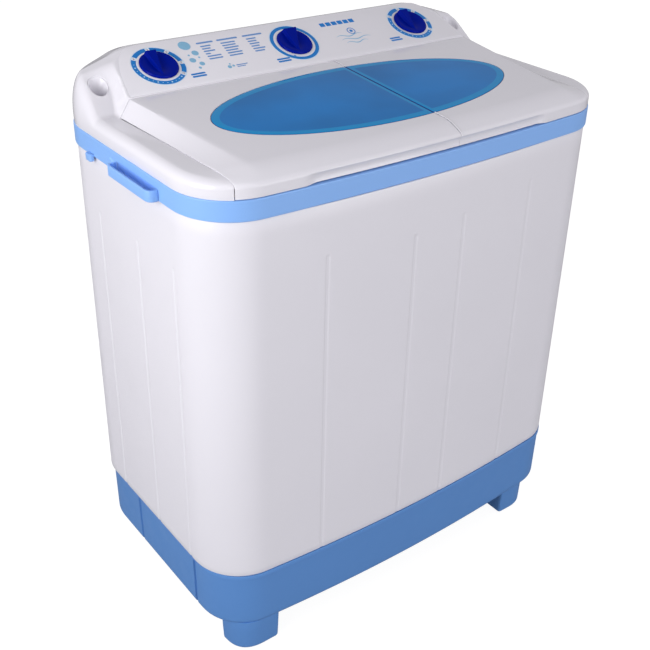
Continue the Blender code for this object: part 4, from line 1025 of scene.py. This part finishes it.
def arc(x, up, radius, angles):
    return [(x + radius * math.cos(a), up + radius * math.sin(a)) for a in angles]


def sector(center_x, inner, outer, start, stop, steps=None):
    """Outline of part of a ring round a dial; start and stop are clockwise from up, in degrees."""
    steps = steps or max(6, int(abs(stop - start) / 3))
    angles = np.pi / 2 - np.radians(np.linspace(start, stop, steps))
    return arc(center_x, KNOB_UP_FACE, outer, angles) + arc(center_x, KNOB_UP_FACE, inner, angles[::-1])


def full_ring(center_x, inner, outer):
    return sector(center_x, inner, outer, 0, 359.9, 140)


def disc(x, up, radius, steps=28):
    return arc(x, up, radius, 2 * np.pi * np.arange(steps) / steps)


def ring_loop(x, up, inner, outer):
    """Thin ring as one outline with a hairline slit."""
    angles = np.linspace(0, 2 * np.pi * 0.998, 28)
    return arc(x, up, outer, angles) + arc(x, up, inner, angles[::-1])


def bar(x, up, length, height):
    """Small rounded bar, as a stand-in for a line of words."""
    half = height / 2
    turn = np.linspace(0, np.pi, 7)
    return arc(x + half, up, half, -np.pi / 2 - turn) + arc(x + length - half, up, half, np.pi / 2 - turn)


def block(x, up, length, height):
    """Square-cut bar, as a stand-in for a letter of a heading."""
    corners = [(x, up - height / 2), (x + length, up - height / 2), (x + length, up + height / 2),
               (x, up + height / 2)]
    return fillet(corners, [0.0008] * 4, 3)


def print_piece(name, outlines, mat):
    parts = [face_prism(points, INK_LOW, INK_HIGH) for points in outlines]
    place(mesh_object(name, parts, mat), "casing", "panel_print")


def dial_sectors(center_x, gaps):
    """Ring pieces between the round gaps that hold the numerals."""
    gap_half = 5.2
    marks = sorted(gaps)
    outlines = []
    for here, after in zip(marks, marks[1:] + [marks[0] + 360]):
        outlines.append(sector(center_x, RING_INNER, RING_OUTER, here + gap_half, after - gap_half))
    return outlines


def ring_middle(center_x, angle):
    a = math.radians(angle)
    middle = (RING_INNER + RING_OUTER) / 2
    return center_x + middle * math.sin(a), KNOB_UP_FACE + middle * math.cos(a)


def numeral(text, x, up, size, mat, number):
    """Dial number as thin raised print."""
    curve = bpy.data.curves.new("numeral", "FONT")
    curve.body = text
    curve.size = size
    curve.align_x = "CENTER"
    curve.align_y = "CENTER"
    curve.extrude = (INK_HIGH - INK_LOW) / 2
    maker = bpy.data.objects.new("numeral", curve)
    bpy.context.scene.collection.objects.link(maker)
    depsgraph = bpy.context.evaluated_depsgraph_get()
    mesh = bpy.data.meshes.new_from_object(maker.evaluated_get(depsgraph))
    bpy.data.objects.remove(maker)
    turn = Matrix.Rotation(FACE_TILT, 4, "X")
    mesh.transform(Matrix.Translation(face_point(x, up, (INK_LOW + INK_HIGH) / 2)) @ turn)
    mesh.materials.clear()
    mesh.materials.append(mat)
    obj = bpy.data.objects.new(f"dial_number_{number}", mesh)
    bpy.context.scene.collection.objects.link(obj)
    place(obj, "casing", "panel_print")


DIAL_MARKS = (-53, 0, 45, 91, 130)


def make_dial_print(ring_ink, pale_ink, dark_ink):
    number = 0
    for index, center in enumerate(KNOB_PLACES):
        x = center.x
        if index == 1:
            print_piece("dial_ring_2", [full_ring(x, RING_INNER + 0.0012, RING_OUTER)], ring_ink)
            mark = sector(x, RING_INNER - 0.0008, RING_INNER + 0.0008, 208, 214)
            print_piece("dial_mark_2", [mark], ring_ink)
            outline = full_ring(x, RING_OUTER + 0.0003, RING_OUTER + 0.0012)
            print_piece("dial_outline_2", [outline], pale_ink)
            continue
        print_piece(f"dial_ring_{index + 1}", dial_sectors(x, DIAL_MARKS), ring_ink)
        outlines = [full_ring(x, RING_OUTER + 0.0003, RING_OUTER + 0.0010)]
        for mark in DIAL_MARKS:
            mx, mup = ring_middle(x, mark)
            outlines.append(ring_loop(mx, mup, 0.0031, 0.0037))
        print_piece(f"dial_outline_{index + 1}", outlines, pale_ink)
        dots = [disc(*ring_middle(x, angle), 0.0007 if step % 3 else 0.0012, 12)
                for step, angle in enumerate(np.arange(143, 297, 11.0))]
        parts = [face_prism(points, INK_LOW, INK_HIGH + 0.00006) for points in dots]
        place(mesh_object(f"dial_dots_{index + 1}", parts, pale_ink), "casing", "panel_print")
        for step, mark in enumerate(DIAL_MARKS):
            number += 1
            numeral(str(step * (3 if index == 0 else 1)), *ring_middle(x, mark), 0.0046, dark_ink, number)


def up_of(y):
    return (y - CONSOLE_Y) / FACE_UP.y


# offsets right of and below the large bubble, and radii
BUBBLES = ((0.0084, 0.0189, 0.0056), (-0.0033, 0.0332, 0.0051), (0.0072, 0.0432, 0.0043),
           (-0.0040, 0.0217, 0.0018), (0.0096, 0.0294, 0.0018), (-0.0003, 0.0509, 0.0024))
# left end, length of the heading and lengths of the lines below it
CHART_COLUMNS = ((-0.1642, 0.029, (0.018, 0.015, 0.020, 0.009, 0.024, 0.024)),
                 (-0.1288, 0.037, (0.026, 0.024, 0.026, 0.022, 0.026, 0.024)),
                 (-0.0830, 0.036, (0.018, 0.016, 0.018, 0.015, 0.022, 0.018)))
# left end, height up the slope and the lengths of the two bars
CAPTIONS = ((-0.2065, 0.0232, 0.024, 0.024), (-0.0562, 0.0222, 0.024, 0.024), (0.1700, 0.0238, 0.022, 0.024))
SYMBOLS = ((-0.1390, 0.0256),)
SYMBOL_DROPS = ((0.0, 0.0, 0.0034), (0.0072, 0.0010, 0.0022), (0.0030, 0.0058, 0.0016))


def make_decor_print(soft_ink, text_ink, ring_ink):
    big_x, big_up = -0.1845, up_of(0.1487)
    bubbles = [disc(big_x, big_up, 0.0097)]
    for right, down, radius in BUBBLES:
        bubbles.append(disc(big_x + right, big_up - down, radius))
    print_piece("bubble_print", bubbles, soft_ink)
    top = up_of(0.1534) - 0.0050
    heads = [bar(x, top, length, 0.0034) for x, length, rows in CHART_COLUMNS]
    lines = []
    for x, _, rows in CHART_COLUMNS:
        for row, length in enumerate(rows):
            lines.append(bar(x + 0.003, top - 0.0078 - 0.0058 * row, length, 0.0028))
    print_piece("chart_heads", heads, text_ink)
    print_piece("chart_lines", lines, text_ink)
    bold = []
    thin = []
    for x, up, first, second in CAPTIONS:
        bold.append(bar(x, up, first, 0.0034))
        bold.append(bar(x, up - 0.0052, second, 0.0034))
    for x, up in SYMBOLS:
        drops = [disc(x + right, up + rise, radius) for right, rise, radius in SYMBOL_DROPS]
        print_piece(f"symbol_{len(thin)}", drops, soft_ink)
        thin += [bar(x + 0.0120, up + 0.0012, 0.0200, 0.0018), bar(x + 0.0120, up - 0.0024, 0.0150, 0.0018)]
    print_piece("caption_bars", bold, ring_ink)
    print_piece("caption_lines", thin, text_ink)
    print_piece("title_blocks", [block(0.0640 + 0.0118 * i, up_of(0.1450), 0.0094, 0.0086) for i in range(6)],
                ring_ink)
    waves = []
    for row, width in enumerate((0.052, 0.060, 0.044)):
        waves.append(wave(0.0760 + 0.005 * row, up_of(0.1150) - 0.0085 * row, width, 0.0016))
    print_piece("wave_print", waves, soft_ink)
    print_piece("ripple_print", [ring_loop(0.1120, up_of(0.1235), 0.0062, 0.0076),
                                 disc(0.1120, up_of(0.1235), 0.0030)], ring_ink)


def wave(x, up, length, height):
    """Ribbon that follows one and a half sine waves and tapers to both ends."""
    t = np.linspace(0, 1, 40)
    middle = up + 0.0022 * np.sin(t * 3 * np.pi)
    half = height / 2 * (0.15 + np.sin(np.pi * t))
    upper = [(x + length * a, m + h) for a, m, h in zip(t, middle, half)]
    lower = [(x + length * a, m - h) for a, m, h in zip(t, middle, half)]
    return upper + lower[::-1]


# ---- materials ----
INK_ROUGHNESS = 0.35
WHITE_LIGHT = (1.0, 1.0, 1.0, 1.0)


def linear(red, green, blue):
    """Colour given as 0 to 255 display values, as linear light."""
    values = [v / 255 for v in (red, green, blue)]
    return [v / 12.92 if v <= 0.04045 else ((v + 0.055) / 1.055) ** 2.4 for v in values]


class Nodes:
    """Short calls for building the nodes of a material or of the world."""

    def __init__(self, owner):
        owner.use_nodes = True
        self.mat = owner
        self.tree = owner.node_tree
        self.shader = self.tree.nodes.get("Principled BSDF")
        self.point = self.add("TexCoord", {}, "Object")

    def feed(self, node, inputs):
        """Sets each input of a node to a value, or links it to a socket."""
        for key, value in inputs.items():
            if isinstance(value, bpy.types.NodeSocket):
                self.tree.links.new(value, node.inputs[key])
            else:
                node.inputs[key].default_value = value

    def add(self, kind, inputs, output=0, **settings):
        """Adds a node and gives back one of its outputs."""
        made = self.tree.nodes.new("ShaderNode" + kind)
        for key, value in settings.items():
            setattr(made, key, value)
        self.feed(made, inputs)
        return made.outputs[output]

    def noise(self, scale, detail=3.0, stretch=(1, 1, 1)):
        point = self.add("Mapping", {"Vector": self.point, "Scale": stretch})
        return self.add("TexNoise", {"Vector": point, "Scale": scale, "Detail": detail}, "Fac")

    def ranged(self, value, from_low, from_high, to_low=0.0, to_high=1.0):
        return self.add("MapRange", {"Value": value, "From Min": from_low, "From Max": from_high,
                                     "To Min": to_low, "To Max": to_high}, "Result")

    def spread(self, value, low, high):
        """Maps the middle of a noise to a range."""
        return self.ranged(value, 0.3, 0.7, low, high)

    def mix(self, share, first, second):
        pair = [c if isinstance(c, bpy.types.NodeSocket) else (*c, 1.0) for c in (first, second)]
        return self.add("Mix", {0: share, 6: pair[0], 7: pair[1]}, 2, data_type="RGBA")

    def blend(self, share, first, second):
        return self.add("MixShader", {"Fac": share, 1: first, 2: second})

    def bump(self, height, distance):
        return self.add("Bump", {"Distance": distance, "Strength": 1.0, "Height": height}, "Normal")

    def edge_highlight_share(self):
        """Rises from 0 to 1 along convex edges, where the painted highlight goes."""
        return self.ranged(self.add("NewGeometry", {}, "Pointiness"), 0.52, 0.60)

    def end(self, surface, output="Material Output"):
        self.feed(self.tree.nodes[output], {"Surface": surface})


def scaled(colour, factor):
    return [min(1.0, c * factor) for c in colour]


def plastic(name, colour, roughness, spread=0.03, grain=0.000012, grain_scale=700, shine=0.5, edge=1.06):
    """Moulded plastic: faint flow mottling, fine orange peel and a painted highlight along convex edges, which
    lightens the colour by the factor edge.
    """
    n = Nodes(bpy.data.materials.new(name))
    flow = n.mix(n.noise(5.0, 4.0), scaled(colour, 1 - spread), scaled(colour, 1 + spread))
    speck = n.mix(n.spread(n.noise(900.0, 2.0), 0.0, 0.35), flow, scaled(colour, 0.96))
    n.feed(n.shader, {
        # painted highlight: along convex edges the base colour is lightened by the factor edge
        "Base Color": n.mix(n.edge_highlight_share(), speck, scaled(colour, edge)),
        "Roughness": n.spread(n.noise(35.0, 5.0), roughness * 0.85, roughness * 1.2),
        "IOR": 1.50, "Specular IOR Level": shine, "Normal": n.bump(n.noise(grain_scale, 2.0), grain)})
    return n.mat


def metal(name, colour, roughness, stretch=(1, 1, 30)):
    """Drawn or plated metal with fine streaks."""
    n = Nodes(bpy.data.materials.new(name))
    streaks = n.noise(60.0, 6.0, stretch)
    n.feed(n.shader, {
        "Base Color": n.mix(streaks, scaled(colour, 0.85), scaled(colour, 1.1)), "Metallic": 1.0,
        "Roughness": n.spread(streaks, roughness * 0.7, roughness * 1.3), "Normal": n.bump(streaks, 0.00002)})
    return n.mat


def ink(name, *display_colour):
    """Screen print with a slightly uneven film."""
    n = Nodes(bpy.data.materials.new(name))
    colour = linear(*display_colour)
    n.feed(n.shader, {
        "Base Color": n.mix(n.noise(400.0, 3.0), scaled(colour, 0.92), scaled(colour, 1.08)),
        "Roughness": n.spread(n.noise(300.0, 2.0), INK_ROUGHNESS * 0.8, INK_ROUGHNESS * 1.2)})
    return n.mat


def outside_ellipse(n, border, softness=0.003):
    """1 outside the window's ellipse moved inwards by border, 0 inside it."""
    half_x = WINDOW_HALF[0] - border
    half_y = WINDOW_HALF[1] - border
    point = n.add("Mapping", {"Vector": n.point, "Location": (0.0, -WINDOW_CENTER_Y / half_y, 0.0),
                              "Scale": (1 / half_x, 1 / half_y, 0.0)})
    length = n.add("VectorMath", {0: point}, "Value", operation="LENGTH")
    return n.ranged(length, 1 - softness, 1 + softness)


def near_split(n, half_width):
    """1 within half_width of the line between the lids."""
    x = n.add("SeparateXYZ", {"Vector": n.point}, "X")
    return n.add("Math", {0: x, 1: LID_SPLIT_X, 2: half_width}, operation="COMPARE")


def window_material(name, tint, body_colour, rim_colour, outline_colour):
    """Tinted sheet, glued down on its paler rim and outlined: milky body and a polished skin."""
    n = Nodes(bpy.data.materials.new(name))
    n.tree.nodes.remove(n.shader)
    tinted = n.mix(n.noise(8.0, 3.0), scaled(tint, 0.96), scaled(tint, 1.04))
    clear = n.add("BsdfTransparent", {"Color": tinted})
    rim = n.add("Math", {0: outside_ellipse(n, WINDOW_BORDER), 1: near_split(n, 0.0080)}, operation="MAXIMUM")
    clouds = n.spread(n.noise(7.0, 2.0), 0.0, 1.0)
    clouded = n.mix(clouds, scaled(body_colour, 0.80), scaled(body_colour, 1.15))
    outline = n.mix(outside_ellipse(n, 0.0011, 0.001), n.mix(rim, clouded, rim_colour), outline_colour)
    milk = n.add("BsdfDiffuse", {"Color": n.mix(near_split(n, 0.0016), outline, outline_colour)})
    body = n.blend(n.spread(rim, 0.66, 0.95), clear, milk)
    gloss = n.add("BsdfGlossy", {"Roughness": n.spread(n.noise(30.0, 4.0), 0.015, 0.03)})
    n.end(n.blend(n.add("Fresnel", {"IOR": 1.45}), body, gloss))
    return n.mat


def make_materials():
    white = (0.80, 0.785, 0.84)
    return {
        "white_plastic": plastic("white_plastic_look", white, 0.07),
        "cabinet_white": plastic("cabinet_white_look", white, 0.36, grain=0.00002, grain_scale=500),
        # edge=1.0: the band's blue gets no painted edge highlight
        "blue_plastic": plastic("blue_plastic_look", (0.262, 0.488, 0.93), 0.36, grain=0.00002,
                                grain_scale=500, edge=1.0),
        "base_blue_plastic": plastic("base_blue_look", (0.105, 0.270, 0.620), 0.40, grain=0.00002),
        "panel_print": plastic("panel_look", white, 0.20, shine=0.35),
        "clear_blue_window": window_material("window_look", (0.002, 0.60, 0.98), (0.0, 0.27, 0.80),
                                             (0.0, 0.29, 0.66), (0.0, 0.05, 0.28)),
        "dial_blue_plastic": plastic("dial_blue_look", (0.0001, 0.0080, 0.26), 0.20, spread=0.06, shine=0.05),
        "tub_plastic": plastic("tub_look", (0.70, 0.72, 0.76), 0.30),
        "grey_plastic": plastic("grey_look", (0.34, 0.35, 0.37), 0.45),
        "steel": metal("steel_look", (0.58, 0.58, 0.60), 0.28),
        "zinc_plate": metal("zinc_look", (0.52, 0.53, 0.54), 0.42, (1, 1, 1)),
        "black_rubber": plastic("rubber_look", (0.022, 0.022, 0.024), 0.62, grain=0.00004, grain_scale=350),
        "motor_paint": plastic("motor_look", (0.09, 0.10, 0.11), 0.40),
        "die_cast_alloy": metal("alloy_look", (0.50, 0.51, 0.53), 0.45, (1, 1, 2)),
        "ring_ink": ink("ring_ink", 0, 122, 204),
        "pale_ink": ink("pale_ink", 196, 226, 246),
        "dark_ink": ink("dark_ink", 70, 84, 120),
        "soft_ink": ink("soft_ink", 132, 184, 216),
        "text_ink": ink("text_ink", 104, 148, 206),
    }


def dress_frame(looks):
    """Materials and softened edges for the CAD nodes that stay visible."""
    slots = {part["node"]: part["material_slot"] for part in frame["record"]["subparts"]}
    for name, obj in frame["nodes"].items():
        if obj.hide_render:
            continue
        obj.data.materials.clear()
        obj.data.materials.append(looks[slots[name]])
        weld = obj.modifiers.new("weld", "WELD")
        weld.merge_threshold = 0.00001
        edges = obj.modifiers.new("edges", "BEVEL")
        edges.width = 0.0004
        edges.segments = 2
        edges.limit_method = "ANGLE"
        edges.angle_limit = math.radians(40)
        edges.harden_normals = True


# ---- stage ----
REFLECTED_SKY = 0.40  # strength of the sky in mirror reflections
SKY_LOW, SKY_HIGH = 1.22, 0.36  # strength at the horizon and overhead


def make_world():
    """Plain white to the camera; to the object a soft studio sky, brightest near the horizon."""
    world = bpy.data.worlds.new("studio")
    bpy.context.scene.world = world
    n = Nodes(world)
    seen = n.tree.nodes["Background"]
    n.feed(seen, {"Color": WHITE_LIGHT, "Strength": 1.0})
    height = n.add("SeparateXYZ", {"Vector": n.add("TexCoord", {}, "Generated")}, "Z")
    sky = n.ranged(height, 0.0, 1.0, SKY_LOW, SKY_HIGH)
    dim = n.ranged(n.add("LightPath", {}, "Is Glossy Ray"), 0.0, 1.0, 1.0, REFLECTED_SKY)
    strength = n.add("Math", {0: sky, 1: dim}, operation="MULTIPLY")
    lit = n.add("Background", {"Color": (0.985, 0.975, 1.0, 1.0), "Strength": strength})
    n.end(n.blend(n.add("LightPath", {}, "Is Camera Ray"), lit, seen.outputs[0]), "World Output")


def make_floor():
    """Ground that looks white to the camera and bounces only a little light."""
    half = 30.0
    corners = [[(-half, y, 0), (half, y, 0)] for y in (-half, half)]
    n = Nodes(bpy.data.materials.new("floor_look"))
    n.feed(n.shader, {"Roughness": 0.9,
                      "Base Color": n.mix(n.noise(0.8, 2.0), (0.27, 0.27, 0.28), (0.30, 0.30, 0.31))})
    pale = n.add("BsdfDiffuse", {"Color": (0.9, 0.9, 0.9, 1.0)})
    glow = n.add("Emission", {"Color": WHITE_LIGHT, "Strength": 1.16})
    seen = n.blend(0.80, pale, glow)
    n.end(n.blend(n.add("LightPath", {}, "Is Camera Ray"), n.shader.outputs[0], seen))
    mesh_object("studio_floor", [skin(corners, wrap_columns=False)], n.mat)


def aimed(obj, location, target):
    obj.location = location
    obj.rotation_euler = (Vector(target) - Vector(location)).to_track_quat("-Z", "Y").to_euler()
    bpy.context.scene.collection.objects.link(obj)


def make_lights():
    for name, location, target, size, power in (
            ("key_light", (-1.45, -0.35, 1.02), (-0.3, -0.05, 0.75), 0.8, 10.6),
            ("fill_light", (0.90, -2.60, 0.90), (0.1, -0.2, 0.55), 1.6, 14.5)):
        data = bpy.data.lights.new(name, "AREA")
        data.size = size
        data.energy = power
        aimed(bpy.data.objects.new(name, data), location, target)


def make_camera():
    """View from the front left, a little above, with a slight roll."""
    yaw, pitch, roll = 0.6671, 0.5269, 0.0304
    forward = Vector((math.sin(yaw) * math.cos(pitch), math.cos(yaw) * math.cos(pitch), -math.sin(pitch)))
    right = Vector((math.cos(yaw), -math.sin(yaw), 0.0))
    up = right.cross(forward)
    level_right = right * math.cos(roll) + up * math.sin(roll)
    level_up = up * math.cos(roll) - right * math.sin(roll)
    matrix = Matrix((level_right, level_up, -forward)).transposed().to_4x4()
    matrix.translation = Vector((-0.9207, -1.1829, 1.2827))
    data = bpy.data.cameras.new("camera")
    data.lens = 55.89
    data.shift_x = -0.0237
    data.shift_y = -0.0097
    data.clip_start = 0.01
    camera = bpy.data.objects.new("camera", data)
    camera.matrix_world = matrix
    bpy.context.scene.collection.objects.link(camera)
    bpy.context.scene.camera = camera


# ---- the whole machine ----
def build():
    looks = make_materials()
    white, window = looks["white_plastic"], looks["clear_blue_window"]
    lids = (("wash_lid", -1), ("spin_lid", 1))
    make_deck(white)
    for lid, side in lids:
        make_lid(lid, side, white)
    for lid, side in lids:
        make_window(lid + "_window", side, lid, window)
    make_ears(white)
    for lid, side in lids:
        make_rail(lid, side, white)
    make_band(looks["blue_plastic"])
    make_cabinet(looks["cabinet_white"])
    make_base(looks["base_blue_plastic"])
    for name in ("foot_front_left", "foot_front_right", "foot_rear_left", "foot_rear_right"):
        make_foot(name, looks["base_blue_plastic"])
    make_panel(looks["panel_print"])
    for name, middle in zip(GRIP_TOPS, KNOB_PLACES):
        make_knob(name, middle, looks["dial_blue_plastic"])
    for name in ("water_inlet_left", "water_inlet_right"):
        make_inlet(name, white)
    make_dial_print(looks["ring_ink"], looks["pale_ink"], looks["dark_ink"])
    make_decor_print(looks["soft_ink"], looks["text_ink"], looks["ring_ink"])
    dress_frame(looks)
    make_world()
    make_floor()
    make_lights()
    make_camera()
    bpy.context.scene.view_settings.view_transform = "Standard"


build()
